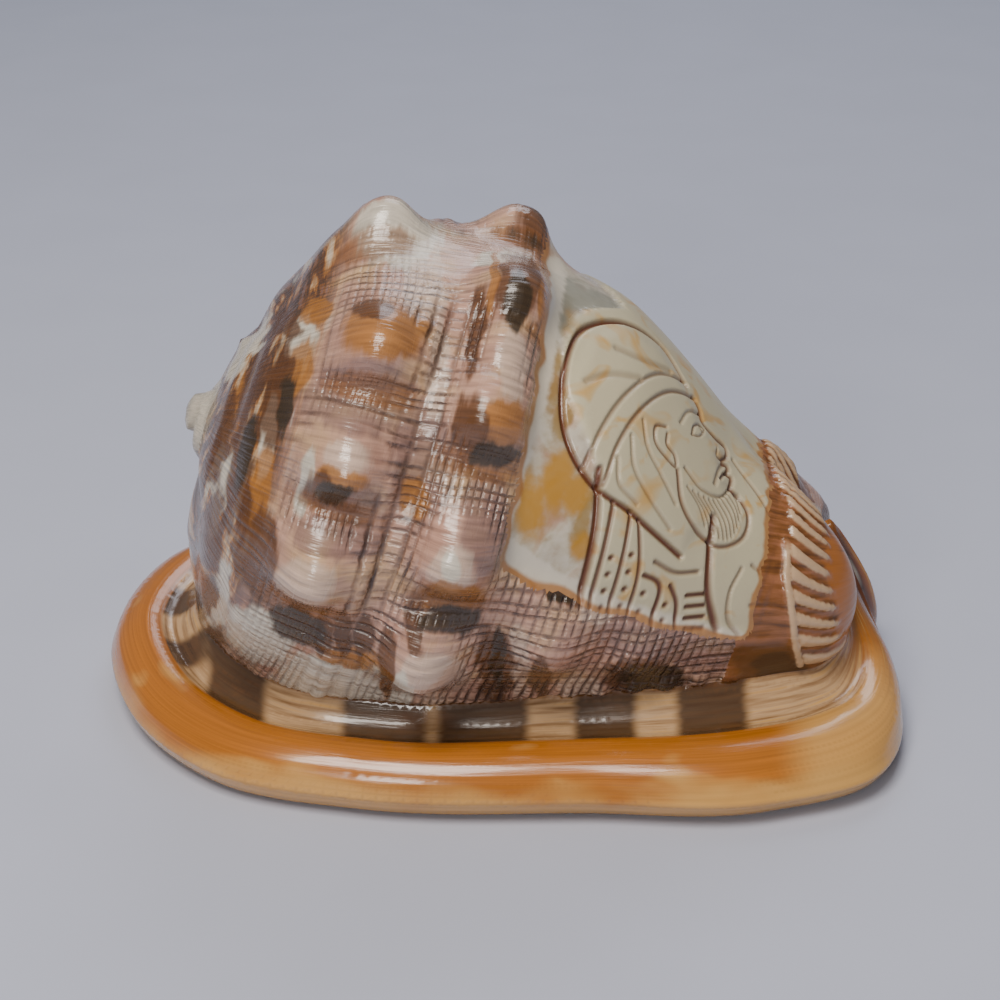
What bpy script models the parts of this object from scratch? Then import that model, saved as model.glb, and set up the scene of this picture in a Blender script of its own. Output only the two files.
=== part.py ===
"""A bullmouth helmet shell with a cameo window cut in its back.

The shell rests on its lips. Its spire is at -X, its canal at +X, the thick outer lip at -Y and the
broad inner lip at +Y. The outside, the lips, the toothed slot and the living chamber are one skin,
lofted through closed loops that all share one parameter, the turn round the mouth.
All the numbers below are millimetres.
"""

import math

import bmesh
import bpy
import numpy as np

MM = 0.001

# Brings the middle of the shell's box over the origin, on the flat that it rests on
TO_MIDDLE = np.array((1.35, -0.05, 0.0))

# The coiling axis runs from the spire's tip down towards the canal
APEX = np.array((-57.0, 0.0, 55.0))
AXIS_TILT = math.radians(12.5)
AXIS = np.array((math.cos(AXIS_TILT), 0.0, -math.sin(AXIS_TILT)))
AXIS_UP = np.array((math.sin(AXIS_TILT), 0.0, math.cos(AXIS_TILT)))

# Rays from here meet the outside once each
HEART = np.array((-5.0, -3.0, 42.0))
RAY_LENGTH = 110.0
# From this share of the way down, the back is drawn to the crease along the lips
FOOT_FIT_STARTS = 0.7

# Rows of the back lie a little closer together towards the foot
ROW_SPREAD = 0.9
RAY_HALVINGS = 26

# Distance along the axis and radius, over the crest of the back and low on its flanks
CREST_PROFILE = (
    (-2.4, 0.0), (-1.5, 2.7), (0.4, 3.9), (2.2, 5.6), (4.2, 9.5), (8.0, 19.5), (12.0, 27.5),
    (17.0, 34.6), (22.0, 39.3), (28.0, 42.2), (36.0, 43.4), (44.0, 43.6), (52.0, 43.0),
    (60.0, 42.3), (67.0, 40.6), (74.3, 38.0), (81.0, 33.8), (88.8, 28.0), (96.0, 22.1),
    (103.6, 15.6), (110.0, 9.8), (115.4, 5.0), (118.6, 0.0),
)
FLANK_PROFILE = (
    (-2.4, 0.0), (-1.5, 2.7), (0.4, 3.9), (2.0, 10.0), (4.2, 20.0), (7.2, 30.0), (11.0, 37.5),
    (16.0, 42.5), (22.0, 45.0), (31.0, 47.0), (47.0, 47.2), (60.0, 46.0), (73.0, 43.2),
    (86.0, 39.8), (96.0, 34.8), (103.0, 29.6), (108.5, 24.0), (113.0, 17.0), (116.5, 9.0), (118.6, 0.0),
)
# Turns round the axis where the crest's profile ends, nearer the outer and the inner lip, and the flanks'
CREST_ENDS_OUTER, CREST_ENDS_INNER, FLANK_STARTS = 10.0, 45.0, 120.0

# Rows of lumps: distance along the axis, height, radius along the axis, radius round it, turns
LUMP_ROWS = (
    (25.5, 6.5, 7.5, 9.5, (-142, -108, -72, -36, -1)),
    (30.1, 7.4, 8.0, 9.5, (44, 70, 93)),
    (51.5, 6.8, 7.5, 10.0, (-140, -108, -76, -45, -14, 24, 54)),
    (52.8, 6.8, 7.5, 10.0, (84, 110)),
    (51.5, 4.6, 5.5, 14.0, (40,)),
    (70.0, 3.2, 6.0, 8.0, (-134, -112, -88, -64)),
    (75.0, 3.2, 6.0, 8.0, (105,)),
    (88.0, 2.2, 5.0, 6.0, (-128, -104, -80)),
    (91.0, 2.2, 5.0, 6.0, (108,)),
)
# A lump's fall from its top, and how flat that top is
LUMP_FALL, LUMP_FLATNESS = 1.1, 2.4
# Each lump drops more steeply on the side that the shell grew towards
LUMP_ABOVE, LUMP_BELOW = 1.15, 0.62
# The rows lean back towards the spire on the outer lip's side
ROW_LEANS_FROM, ROW_LEAN_PER_TURN = 24.0, 24.0

# The whorls of the spire
SPIRE_STEP = 1.3
SPIRE_GROWTH = 0.24
SPIRE_INNER, SPIRE_OUTER = 3.5, 27.0
SPIRE_ENDS_ALONG = 16.0
# Shares of a whorl's width where its ledge is highest and where it drops to the next whorl
SPIRE_LEDGE_TOP, SPIRE_LEDGE_DROP = 0.75, 0.8

# Stations round the mouth, from the canal's tip along the outer lip to the spire end and back.
# Each has the foot of the back, the lip's outermost point, the slot's edge and the slot's throat.
STATIONS = (
    ((58.0, 0.0, 29.5), (61.5, 0.0, 33.0), (62.0, 0.0, 29.5), (59.8, 0.0, 26.0)),
    ((61.8, -9.0, 23.4), (69.2, -4.0, 15.8), (68.0, -2.6, 14.0), (63.0, -2.4, 13.5)),
    ((63.5, -15.5, 18.2), (73.4, -13.0, 7.0), (68.0, -4.0, 5.0), (62.5, -3.6, 8.6)),
    ((58.0, -23.5, 15.2), (72.4, -31.0, 5.0), (60.0, -5.5, 3.6), (57.0, -6.0, 8.5)),
    ((49.0, -27.5, 15.6), (65.5, -44.5, 5.0), (50.0, -7.5, 3.4), (49.0, -9.0, 8.4)),
    ((37.0, -31.0, 15.9), (47.0, -52.5, 5.0), (38.0, -10.0, 3.4), (38.0, -11.3, 8.4)),
    ((10.0, -34.4, 15.5), (14.0, -53.0, 5.0), (12.0, -14.5, 3.4), (12.0, -15.8, 8.4)),
    ((-20.0, -35.5, 15.0), (-27.0, -51.2, 5.0), (-15.0, -17.0, 3.4), (-15.0, -18.2, 8.4)),
    ((-40.0, -29.5, 15.0), (-54.0, -42.0, 5.0), (-34.0, -15.0, 3.4), (-33.5, -16.2, 8.4)),
    ((-53.0, -16.0, 15.0), (-69.8, -23.5, 5.5), (-46.0, -10.5, 3.6), (-45.0, -11.5, 8.6)),
    ((-59.0, 1.0, 15.5), (-76.6, 0.0, 6.5), (-51.0, -4.5, 4.0), (-49.5, -4.5, 8.8)),
    ((-55.0, 18.0, 15.0), (-71.5, 27.0, 6.0), (-46.0, -1.0, 3.6), (-45.5, 0.0, 8.6)),
    ((-41.0, 31.0, 15.0), (-52.0, 44.5, 5.5), (-34.0, -3.0, 3.4), (-34.0, -1.8, 8.4)),
    ((-12.0, 37.0, 15.0), (-15.0, 53.5, 5.0), (-13.0, -4.5, 3.4), (-13.0, -3.2, 8.4)),
    ((18.0, 35.0, 15.0), (24.0, 51.5, 5.0), (13.0, -2.0, 3.4), (13.0, -0.7, 8.4)),
    ((40.0, 29.5, 15.0), (53.0, 40.0, 5.0), (38.0, 1.5, 3.4), (38.0, 2.8, 8.4)),
    ((53.0, 22.0, 15.5), (68.0, 26.0, 5.0), (52.0, 3.5, 3.6), (52.0, 3.9, 8.5)),
    ((62.5, 13.0, 19.5), (73.0, 11.0, 7.0), (68.0, 4.0, 5.0), (62.5, 3.2, 8.6)),
    ((61.5, 7.5, 25.0), (70.0, 4.0, 18.5), (68.5, 2.6, 16.5), (63.5, 2.0, 15.5)),
)
# How far each station belongs to the upturned canal
CANAL_SHARE = (1.0, 0.85, 0.35, 0.05, 0, 0, 0, 0, 0, 0, 0, 0, 0, 0, 0, 0, 0.1, 0.45, 0.85)

# The lip's upper side from the foot of the back outwards: share of the way, height off the chord
LIP_TOP = ((0.1, -0.8), (0.24, -1.5), (0.36, -1.1), (0.44, 1.0), (0.6, 2.8), (0.82, 2.7), (1.0, 0.0))
# The lip's underside from the rim inwards: share of the way to the slot, depth under the chord
LIP_UNDER = (
    (0.04, 2.6), (0.12, 5.2), (0.3, 6.2), (0.5, 5.4), (0.7, 3.7), (0.86, 2.6), (0.95, 1.6), (1.0, 0.0),
)
# How much thinner the lip is at the canal, over and under, and which way it thickens there
TOP_THINNING, CANAL_THINNING = 0.9, 0.8
UNDER_CANAL = np.array((0.85, 0.0, -0.5))

# Teeth on the slot's edges
TEETH = 48
TOOTH_HEIGHT = 1.5
# Shares of the lip's underside between which the teeth rise, and of the canal between which they end
TEETH_RISE, TEETH_END = (0.68, 0.95), (0.3, 0.9)
# The slot's middle line: its ends along X, and a bow towards the outer lip (depth, place and half length)
SLOT_ENDS, SLOT_SIDE = (-44.0, 60.0), -2.0
SLOT_BOW, SLOT_BOW_X, SLOT_BOW_LENGTH = 8.0, -12.0, 38.0

# Loops from the slot's edge to its throat, and the living chamber above it
SLOT_WALL = (0.35, 1.0)
CHAMBER_RADII = np.array((45.0, 33.0, 40.0))
WALL = 6.5
FLOOR_RADII, FLOOR_HEIGHT = (27.0, 20.0), 16.0
# Heights of the chamber's loops over the level of the heart, in degrees
CHAMBER_RINGS = (-24, -2, 20, 42, 66, 90)

# The window ground into the back for the cameo. Its edge on the outer lip's side runs down aslant.
WINDOW_DEPTH = 1.4
WINDOW_ALONG = (56.5, 104.0)
WINDOW_INNER_TURN = -48.0
WINDOW_OUTER_TURN, WINDOW_OUTER_SLANT = 84.0, 0.42
WINDOW_EDGE, WINDOW_EDGE_TURN = 2.0, 3.0

# How finely the skin is divided
ROUND_MOUTH = 96
UP_THE_BACK = 20

SHELL_RGB = (0.66, 0.45, 0.30)
SHELL_ROUGHNESS = 0.22


def smoothstep(low, high, x):
    """0 below low, 1 above high and a smooth rise between."""
    t = np.clip((x - low) / (high - low), 0.0, 1.0)
    return t * t * (3 - 2 * t)


def unit(vectors):
    return vectors / np.maximum(np.linalg.norm(vectors, axis=-1, keepdims=True), 1e-9)


def through(table, x):
    """The smooth curve through a table of (place, value), read at x."""
    places, values = np.array(table, float).T
    slopes = np.gradient(values, places)
    i = np.clip(np.searchsorted(places, x) - 1, 0, len(places) - 2)
    span = places[i + 1] - places[i]
    t = np.clip((x - places[i]) / span, 0.0, 1.0)
    h00 = (1 + 2 * t) * (1 - t) ** 2
    h01 = t * t * (3 - 2 * t)
    h10 = t * (1 - t) ** 2 * span
    h11 = t * t * (t - 1) * span
    return h00 * values[i] + h10 * slopes[i] + h01 * values[i + 1] + h11 * slopes[i + 1]


def round_loop(knots, points, turn):
    """The closed smooth curve through points at knots, read at turn, from 0 to 1."""
    n = len(points)
    later = np.roll(points, -1, axis=0)
    earlier = np.roll(points, 1, axis=0)
    after = np.append(knots[1:], 1.0) - knots
    before = np.roll(after, 1)
    slopes = ((later - points) / after[:, None] * before[:, None]
              + (points - earlier) / before[:, None] * after[:, None]) / (after + before)[:, None]
    turn = turn % 1.0
    i = np.clip(np.searchsorted(knots, turn, side="right") - 1, 0, n - 1)
    j = (i + 1) % n
    t = ((turn - knots[i]) / after[i])[:, None]
    span = after[i][:, None]
    return ((1 + 2 * t) * (1 - t) ** 2 * points[i] + t * (1 - t) ** 2 * span * slopes[i]
            + t * t * (3 - 2 * t) * points[j] + t * t * (t - 1) * span * slopes[j])


def station_loops():
    """The four loops of STATIONS, with knots spaced by the mean length of rim and slot between stations."""
    loops = np.array(STATIONS, float).transpose(1, 0, 2)
    steps = np.linalg.norm(np.roll(loops, -1, axis=1) - loops, axis=2)
    length = 0.5 * steps[1] + 0.5 * steps[2]
    knots = np.concatenate(([0.0], np.cumsum(length)[:-1])) / length.sum()
    return knots, loops


def whorl_place(points):
    """Distance along the axis, radius from it and turn round it, in degrees towards the outer lip."""
    q = points - APEX
    along = q @ AXIS
    up = q @ AXIS_UP
    side = -q[..., 1]
    return along, np.hypot(up, side), np.degrees(np.arctan2(side, up))


def lumps(along, turn, radius):
    """Height of the rows of lumps at a place on the whorl."""
    height = np.zeros_like(along)
    for row_along, lump_height, half_length, half_width, turns in LUMP_ROWS:
        for lump_turn in turns:
            sideways = np.radians(turn - lump_turn) * np.maximum(radius, 20.0)
            leaning = row_along - ROW_LEAN_PER_TURN * max(lump_turn - ROW_LEANS_FROM, 0.0) / 360
            sideways = sideways / half_width / np.where(sideways > 0, LUMP_BELOW, LUMP_ABOVE)
            d = np.hypot((along - leaning) / half_length, sideways)
            height = np.maximum(height, lump_height * np.exp(-LUMP_FALL * d ** LUMP_FLATNESS))
    return height


def spire_whorls(along, turn, radius):
    """The steps where each whorl of the spire tucks under the one before."""
    phase = np.log(np.maximum(radius, 0.5)) / SPIRE_GROWTH / math.tau - turn / 360
    step = phase % 1.0
    rise = smoothstep(0.0, SPIRE_LEDGE_TOP, step) - smoothstep(SPIRE_LEDGE_DROP, 1.0, step)
    ledge = SPIRE_STEP * (rise - 0.5)
    shown = smoothstep(SPIRE_INNER, SPIRE_INNER + 2, radius)
    shown = shown * (1 - smoothstep(SPIRE_OUTER - 6, SPIRE_OUTER, radius)) * (along < SPIRE_ENDS_ALONG)
    return ledge * shown


def window(along, turn):
    """1 in the ground window, 0 outside it."""
    start, end = WINDOW_ALONG
    outer = WINDOW_OUTER_TURN + WINDOW_OUTER_SLANT * (along - start)
    share = smoothstep(start - WINDOW_EDGE, start + WINDOW_EDGE, along)
    share = share * (1 - smoothstep(end - WINDOW_EDGE, end + WINDOW_EDGE, along))
    inner, soft = WINDOW_INNER_TURN, WINDOW_EDGE_TURN
    share = share * smoothstep(inner - soft, inner + soft, turn)
    return share * (1 - smoothstep(outer - soft, outer + soft, turn))


def back_radius(along, turn, radius):
    """The radius of the shell's back at a place along and round the axis, with its lumps and window."""
    crest_ends = np.where(turn > 0, CREST_ENDS_OUTER, CREST_ENDS_INNER)
    low = smoothstep(crest_ends, FLANK_STARTS, np.abs(turn))
    base = (1 - low) * through(CREST_PROFILE, along) + low * through(FLANK_PROFILE, along)
    base = np.where(along < CREST_PROFILE[0][0], 0.0, base)
    return base + lumps(along, turn, radius) - WINDOW_DEPTH * window(along, turn)


def reach_of_back(directions):
    """How far rays from the heart of the shell run before they leave its back."""
    near = np.zeros(len(directions))
    far = np.full(len(directions), RAY_LENGTH)
    for _ in range(RAY_HALVINGS):
        reach = (near + far) / 2
        along, radius, turn = whorl_place(HEART + directions * reach[:, None])
        inside = radius < back_radius(along, turn, radius)
        near = np.where(inside, reach, near)
        far = np.where(inside, far, reach)
    return (near + far) / 2


def on_back(directions, extra=0.0):
    """Points of the back in these directions, extra further out than its profile."""
    points = HEART + directions * (reach_of_back(directions) + extra)[:, None]
    along, radius, turn = whorl_place(points)
    return points - AXIS * spire_whorls(along, turn, radius)[:, None]


def between(a, b, share):
    """Directions part of the way round from a to b."""
    angle = np.arccos(np.clip((a * b).sum(-1), -1, 1))[:, None]
    sine = np.maximum(np.sin(angle), 1e-6)
    return (np.sin((1 - share) * angle) * a + np.sin(share * angle) * b) / sine


class Skin:
    """The skin's loops, each read at turns round the mouth."""

    def __init__(self, turns):
        knots, loops = station_loops()
        self.foot, self.rim, self.slot, self.throat = (round_loop(knots, loop, turns) for loop in loops)
        canal = np.array(CANAL_SHARE, float)[:, None]
        self.canal = np.clip(round_loop(knots, canal, turns), 0, 1)
        self.turns = turns
        self.foot_ray = unit(self.foot - HEART)
        self.foot_gap = np.linalg.norm(self.foot - HEART, axis=1) - reach_of_back(self.foot_ray)
        self.lift = self.off_chord(self.rim - self.foot)
        # Down under the lips, and forwards at the upturned canal
        self.under = unit(self.canal * UNDER_CANAL + (1 - self.canal) * np.array((0, 0, -1.0)))

    @staticmethod
    def off_chord(chord):
        """Square to the chord, in the upright plane that holds it."""
        along = unit(chord)
        up = np.array((0.0, 0.0, 1.0))
        return unit(up - along * (along @ up)[:, None])

    def back(self, share):
        """A loop on the back, from the crown at share 0 to the foot at share 1."""
        up = np.tile(np.array((0.0, 0.0, 1.0)), (len(self.turns), 1))
        fitted = self.foot_gap * smoothstep(FOOT_FIT_STARTS, 1.0, share)
        return on_back(unit(between(up, self.foot_ray, share)), fitted)

    def lip_top(self, share, height):
        """A loop on the lip's upper side, part of the way from the foot to the rim."""
        thin = 1 - TOP_THINNING * self.canal
        return self.foot + (self.rim - self.foot) * share + self.lift * height * thin

    def lip_under(self, share, depth):
        """A loop on the lip's underside, part of the way from the rim to the slot, never under the ground."""
        thin = 1 - CANAL_THINNING * self.canal
        loop = self.rim + (self.slot - self.rim) * share + self.under * depth * thin
        loop[:, 2] = np.maximum(loop[:, 2], 0.0)
        return loop

    def slot_outwards(self):
        """Level directions from the middle of the slot to its edge."""
        centre = np.stack((np.clip(self.slot[:, 0], *SLOT_ENDS), self.slot_middle(), self.slot[:, 2]), 1)
        level = self.slot - centre
        level[:, 2] = 0
        return unit(level)

    def slot_middle(self):
        """The Y of the slot's middle line opposite each point of its edge."""
        off = (self.slot[:, 0] - SLOT_BOW_X) / SLOT_BOW_LENGTH
        return SLOT_SIDE - SLOT_BOW * np.exp(-off * off)

    def teeth(self, strength):
        """How far the slot's edge is drawn in by its teeth."""
        wave = 0.5 - 0.5 * np.cos(math.tau * TEETH * self.turns)
        plain = smoothstep(*TEETH_END, self.canal[:, 0])
        return (-TOOTH_HEIGHT * strength * wave * (1 - plain))[:, None] * self.slot_outwards()

    def slot_wall(self, share):
        """A loop between the slot's edge and its throat."""
        return self.slot + (self.throat - self.slot) * share + self.teeth(1 - share)

    def chamber_floor(self):
        """The chamber's lowest loop, where it opens out over the slot."""
        azimuth = math.tau * self.turns
        x = HEART[0] + FLOOR_RADII[0] * np.cos(azimuth)
        y = HEART[1] - FLOOR_RADII[1] * np.sin(azimuth)
        return np.stack((x, y, np.full(len(azimuth), FLOOR_HEIGHT)), 1)

    def chamber(self, height_angle):
        """A loop of the chamber, an egg round the heart that keeps the wall's thickness."""
        azimuth = math.tau * self.turns
        elevation = math.radians(height_angle)
        level = math.cos(elevation)
        ray = np.stack((level * np.cos(azimuth), -level * np.sin(azimuth),
                        np.full(len(azimuth), math.sin(elevation))), 1)
        reach = np.minimum(1 / np.linalg.norm(ray / CHAMBER_RADII, axis=1), reach_of_back(ray) - WALL)
        return HEART + ray * reach[:, None]


def skin_loops():
    """Every loop from the crown down the back, under the lips and up into the chamber."""
    skin = Skin(np.arange(ROUND_MOUTH) / ROUND_MOUTH)
    loops = [skin.back((i / UP_THE_BACK) ** ROW_SPREAD) for i in range(1, UP_THE_BACK)]
    loops.append(skin.foot)
    loops += [skin.lip_top(share, height) for share, height in LIP_TOP]
    for share, depth in LIP_UNDER:
        strength = smoothstep(*TEETH_RISE, share)
        loops.append(skin.lip_under(share, depth) + skin.teeth(strength))
    loops += [skin.slot_wall(share) for share in SLOT_WALL]
    loops.append(skin.chamber_floor())
    loops += [skin.chamber(angle) for angle in CHAMBER_RINGS[:-1]]
    crown = on_back(np.array(((0.0, 0.0, 1.0),)))[0]
    ceiling = skin.chamber(CHAMBER_RINGS[-1])[0]
    return crown, loops, ceiling


def shell_mesh():
    """A UV sphere whose rings are moved onto the skin's loops, crown and ceiling at its poles."""
    crown, loops, ceiling = skin_loops()
    rows = [np.tile(crown, (ROUND_MOUTH, 1)), *loops, np.tile(ceiling, (ROUND_MOUTH, 1))]
    work = bmesh.new()
    bmesh.ops.create_uvsphere(work, u_segments=ROUND_MOUTH, v_segments=len(loops) + 1, radius=1)
    for vertex in work.verts:
        x, y, z = vertex.co
        row = round(math.acos(max(-1.0, min(1.0, z))) / math.pi * (len(loops) + 1))
        column = round(math.atan2(-y, x) / math.tau * ROUND_MOUTH) % ROUND_MOUTH
        vertex.co = (rows[row][column] + TO_MIDDLE) * MM
    mesh = bpy.data.meshes.new("helmet_shell")
    work.to_mesh(mesh)
    work.free()
    mesh.shade_smooth()
    return mesh


def shell_material():
    """Polished shell, in one plain colour."""
    material = bpy.data.materials.new("shell")
    material.use_nodes = True
    shader = material.node_tree.nodes["Principled BSDF"]
    shader.inputs["Base Color"].default_value = (*SHELL_RGB, 1)
    shader.inputs["Roughness"].default_value = SHELL_ROUGHNESS
    return material


def main():
    for old in list(bpy.data.objects):
        bpy.data.objects.remove(old)
    mesh = shell_mesh()
    mesh.materials.append(shell_material())
    shell = bpy.data.objects.new("helmet_shell", mesh)
    bpy.context.scene.collection.objects.link(shell)


main()
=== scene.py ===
"""The looks of a bullmouth helmet shell with a cameo cut into its back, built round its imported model.

The shell is one skin, read at two numbers: the turn round the mouth and the way down it, from the
crown over the back to the foot, out and in along the lip, up the slot and round the living chamber.
Lengths inside the skin's own functions are millimetres, before the shell's middle is put over the origin.
"""

import math

import bpy
import numpy as np
from bpy.props import FloatProperty, FloatVectorProperty, PointerProperty
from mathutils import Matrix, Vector


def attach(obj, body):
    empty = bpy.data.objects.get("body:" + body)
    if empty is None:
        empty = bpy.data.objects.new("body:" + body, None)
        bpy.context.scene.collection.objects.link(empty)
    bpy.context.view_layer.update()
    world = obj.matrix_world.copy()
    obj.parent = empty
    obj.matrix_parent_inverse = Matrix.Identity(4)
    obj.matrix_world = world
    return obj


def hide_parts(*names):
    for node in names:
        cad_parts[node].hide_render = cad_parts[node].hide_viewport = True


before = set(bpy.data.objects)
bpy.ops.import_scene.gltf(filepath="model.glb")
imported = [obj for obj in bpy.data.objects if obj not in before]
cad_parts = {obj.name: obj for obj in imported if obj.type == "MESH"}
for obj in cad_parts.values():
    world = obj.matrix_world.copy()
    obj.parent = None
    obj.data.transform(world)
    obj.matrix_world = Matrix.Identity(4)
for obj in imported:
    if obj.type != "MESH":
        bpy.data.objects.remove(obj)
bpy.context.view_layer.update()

bl_info = {
    "name": "Carved cameo shell",
    "version": (1, 0, 0),
    "blender": (4, 5, 0),
    "location": "View3D > Sidebar > Cameo shell",
    "description": "Builds a helmet shell with a carved cameo, and the stage that it stands on",
    "category": "Add Mesh",
}

CAD_NODE = "helmet_shell"
MM = 0.001


def linear(hex_colour):
    """An sRGB hex colour as linear red, green and blue."""
    channels = [int(hex_colour[i:i + 2], 16) / 255 for i in (1, 3, 5)]
    return tuple(c / 12.92 if c <= 0.04045 else ((c + 0.055) / 1.055) ** 2.4 for c in channels)


# The skin's dimensions, the same as the solid's

TO_MIDDLE = np.array((1.35, -0.05, 0.0))
APEX = np.array((-57.0, 0.0, 55.0))
AXIS_TILT = math.radians(12.5)
AXIS = np.array((math.cos(AXIS_TILT), 0.0, -math.sin(AXIS_TILT)))
AXIS_UP = np.array((math.sin(AXIS_TILT), 0.0, math.cos(AXIS_TILT)))
HEART = np.array((-5.0, -3.0, 42.0))
RAY_LENGTH = 110.0
FOOT_FIT_STARTS = 0.7
ROW_SPREAD = 0.9
RAY_HALVINGS = 22

# Distance along the axis and radius, over the crest of the back and low on its flanks
CREST_PROFILE = (
    (-2.4, 0.0), (-1.5, 2.7), (0.4, 3.9), (2.2, 5.6), (4.2, 9.5), (8.0, 19.5), (12.0, 27.5),
    (17.0, 34.6), (22.0, 39.3), (28.0, 42.2), (36.0, 43.4), (44.0, 43.6), (52.0, 43.0),
    (60.0, 42.3), (67.0, 40.6), (74.3, 38.0), (81.0, 33.8), (88.8, 28.0), (96.0, 22.1),
    (103.6, 15.6), (110.0, 9.8), (115.4, 5.0), (118.6, 0.0),
)
FLANK_PROFILE = (
    (-2.4, 0.0), (-1.5, 2.7), (0.4, 3.9), (2.0, 10.0), (4.2, 20.0), (7.2, 30.0), (11.0, 37.5),
    (16.0, 42.5), (22.0, 45.0), (31.0, 47.0), (47.0, 47.2), (60.0, 46.0), (73.0, 43.2),
    (86.0, 39.8), (96.0, 34.8), (103.0, 29.6), (108.5, 24.0), (113.0, 17.0), (116.5, 9.0), (118.6, 0.0),
)
CREST_ENDS_OUTER, CREST_ENDS_INNER, FLANK_STARTS = 10.0, 45.0, 120.0

# Rows of lumps: distance along the axis, height, radius along the axis, radius round it, turns
LUMP_ROWS = (
    (25.5, 6.5, 7.5, 9.5, (-142, -108, -72, -36, -1)),
    (30.1, 7.4, 8.0, 9.5, (44, 70, 93)),
    (51.5, 6.8, 7.5, 10.0, (-140, -108, -76, -45, -14, 24, 54)),
    (52.8, 6.8, 7.5, 10.0, (84, 110)),
    (51.5, 4.6, 5.5, 14.0, (40,)),
    (70.0, 3.2, 6.0, 8.0, (-134, -112, -88, -64)),
    (75.0, 3.2, 6.0, 8.0, (105,)),
    (88.0, 2.2, 5.0, 6.0, (-128, -104, -80)),
    (91.0, 2.2, 5.0, 6.0, (108,)),
)
LUMP_FALL, LUMP_FLATNESS = 1.1, 2.4
LUMP_ABOVE, LUMP_BELOW = 1.15, 0.62
ROW_LEANS_FROM, ROW_LEAN_PER_TURN = 24.0, 24.0

SPIRE_STEP, SPIRE_GROWTH = 1.3, 0.24
SPIRE_INNER, SPIRE_OUTER = 3.5, 27.0
SPIRE_ENDS_ALONG = 16.0
SPIRE_LEDGE_TOP, SPIRE_LEDGE_DROP = 0.75, 0.8

# Stations round the mouth, from the canal's tip along the outer lip to the spire end and back.
# Each has the foot of the back, the lip's outermost point, the slot's edge and the slot's throat.
STATIONS = (
    ((58.0, 0.0, 29.5), (61.5, 0.0, 33.0), (62.0, 0.0, 29.5), (59.8, 0.0, 26.0)),
    ((61.8, -9.0, 23.4), (69.2, -4.0, 15.8), (68.0, -2.6, 14.0), (63.0, -2.4, 13.5)),
    ((63.5, -15.5, 18.2), (73.4, -13.0, 7.0), (68.0, -4.0, 5.0), (62.5, -3.6, 8.6)),
    ((58.0, -23.5, 15.2), (72.4, -31.0, 5.0), (60.0, -5.5, 3.6), (57.0, -6.0, 8.5)),
    ((49.0, -27.5, 15.6), (65.5, -44.5, 5.0), (50.0, -7.5, 3.4), (49.0, -9.0, 8.4)),
    ((37.0, -31.0, 15.9), (47.0, -52.5, 5.0), (38.0, -10.0, 3.4), (38.0, -11.3, 8.4)),
    ((10.0, -34.4, 15.5), (14.0, -53.0, 5.0), (12.0, -14.5, 3.4), (12.0, -15.8, 8.4)),
    ((-20.0, -35.5, 15.0), (-27.0, -51.2, 5.0), (-15.0, -17.0, 3.4), (-15.0, -18.2, 8.4)),
    ((-40.0, -29.5, 15.0), (-54.0, -42.0, 5.0), (-34.0, -15.0, 3.4), (-33.5, -16.2, 8.4)),
    ((-53.0, -16.0, 15.0), (-69.8, -23.5, 5.5), (-46.0, -10.5, 3.6), (-45.0, -11.5, 8.6)),
    ((-59.0, 1.0, 15.5), (-76.6, 0.0, 6.5), (-51.0, -4.5, 4.0), (-49.5, -4.5, 8.8)),
    ((-55.0, 18.0, 15.0), (-71.5, 27.0, 6.0), (-46.0, -1.0, 3.6), (-45.5, 0.0, 8.6)),
    ((-41.0, 31.0, 15.0), (-52.0, 44.5, 5.5), (-34.0, -3.0, 3.4), (-34.0, -1.8, 8.4)),
    ((-12.0, 37.0, 15.0), (-15.0, 53.5, 5.0), (-13.0, -4.5, 3.4), (-13.0, -3.2, 8.4)),
    ((18.0, 35.0, 15.0), (24.0, 51.5, 5.0), (13.0, -2.0, 3.4), (13.0, -0.7, 8.4)),
    ((40.0, 29.5, 15.0), (53.0, 40.0, 5.0), (38.0, 1.5, 3.4), (38.0, 2.8, 8.4)),
    ((53.0, 22.0, 15.5), (68.0, 26.0, 5.0), (52.0, 3.5, 3.6), (52.0, 3.9, 8.5)),
    ((62.5, 13.0, 19.5), (73.0, 11.0, 7.0), (68.0, 4.0, 5.0), (62.5, 3.2, 8.6)),
    ((61.5, 7.5, 25.0), (70.0, 4.0, 18.5), (68.5, 2.6, 16.5), (63.5, 2.0, 15.5)),
)
CANAL_SHARE = (1.0, 0.85, 0.35, 0.05, 0, 0, 0, 0, 0, 0, 0, 0, 0, 0, 0, 0, 0.1, 0.45, 0.85)

# The lip's upper side and underside: share of the way along the chord, height off it
LIP_TOP = (
    (0.0, 0.0), (0.1, -0.8), (0.24, -1.5), (0.36, -1.1), (0.44, 1.0), (0.6, 2.8), (0.82, 2.7), (1.0, 0.0),
)
LIP_UNDER = (
    (0.0, 0.0), (0.04, 2.6), (0.12, 5.2), (0.3, 6.2), (0.5, 5.4), (0.7, 3.7), (0.86, 2.6), (0.95, 1.6),
    (1.0, 0.0),
)
# Typical widths of the lip over and under, which space their points
LIP_TOP_WIDTH, LIP_UNDER_WIDTH = 21.0, 39.0
TOP_THINNING, CANAL_THINNING = 0.9, 0.8
UNDER_CANAL = np.array((0.85, 0.0, -0.5))

TEETH, TOOTH_HEIGHT = 48, 1.5
TEETH_RISE, TEETH_END = (0.68, 0.95), (0.3, 0.9)
SLOT_ENDS, SLOT_SIDE = (-44.0, 60.0), -2.0
SLOT_BOW, SLOT_BOW_X, SLOT_BOW_LENGTH = 8.0, -12.0, 38.0

CHAMBER_RADII = np.array((45.0, 33.0, 40.0))
WALL = 6.5
FLOOR_RADII, FLOOR_HEIGHT = (27.0, 20.0), 16.0
CHAMBER_STARTS = -24.0

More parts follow.
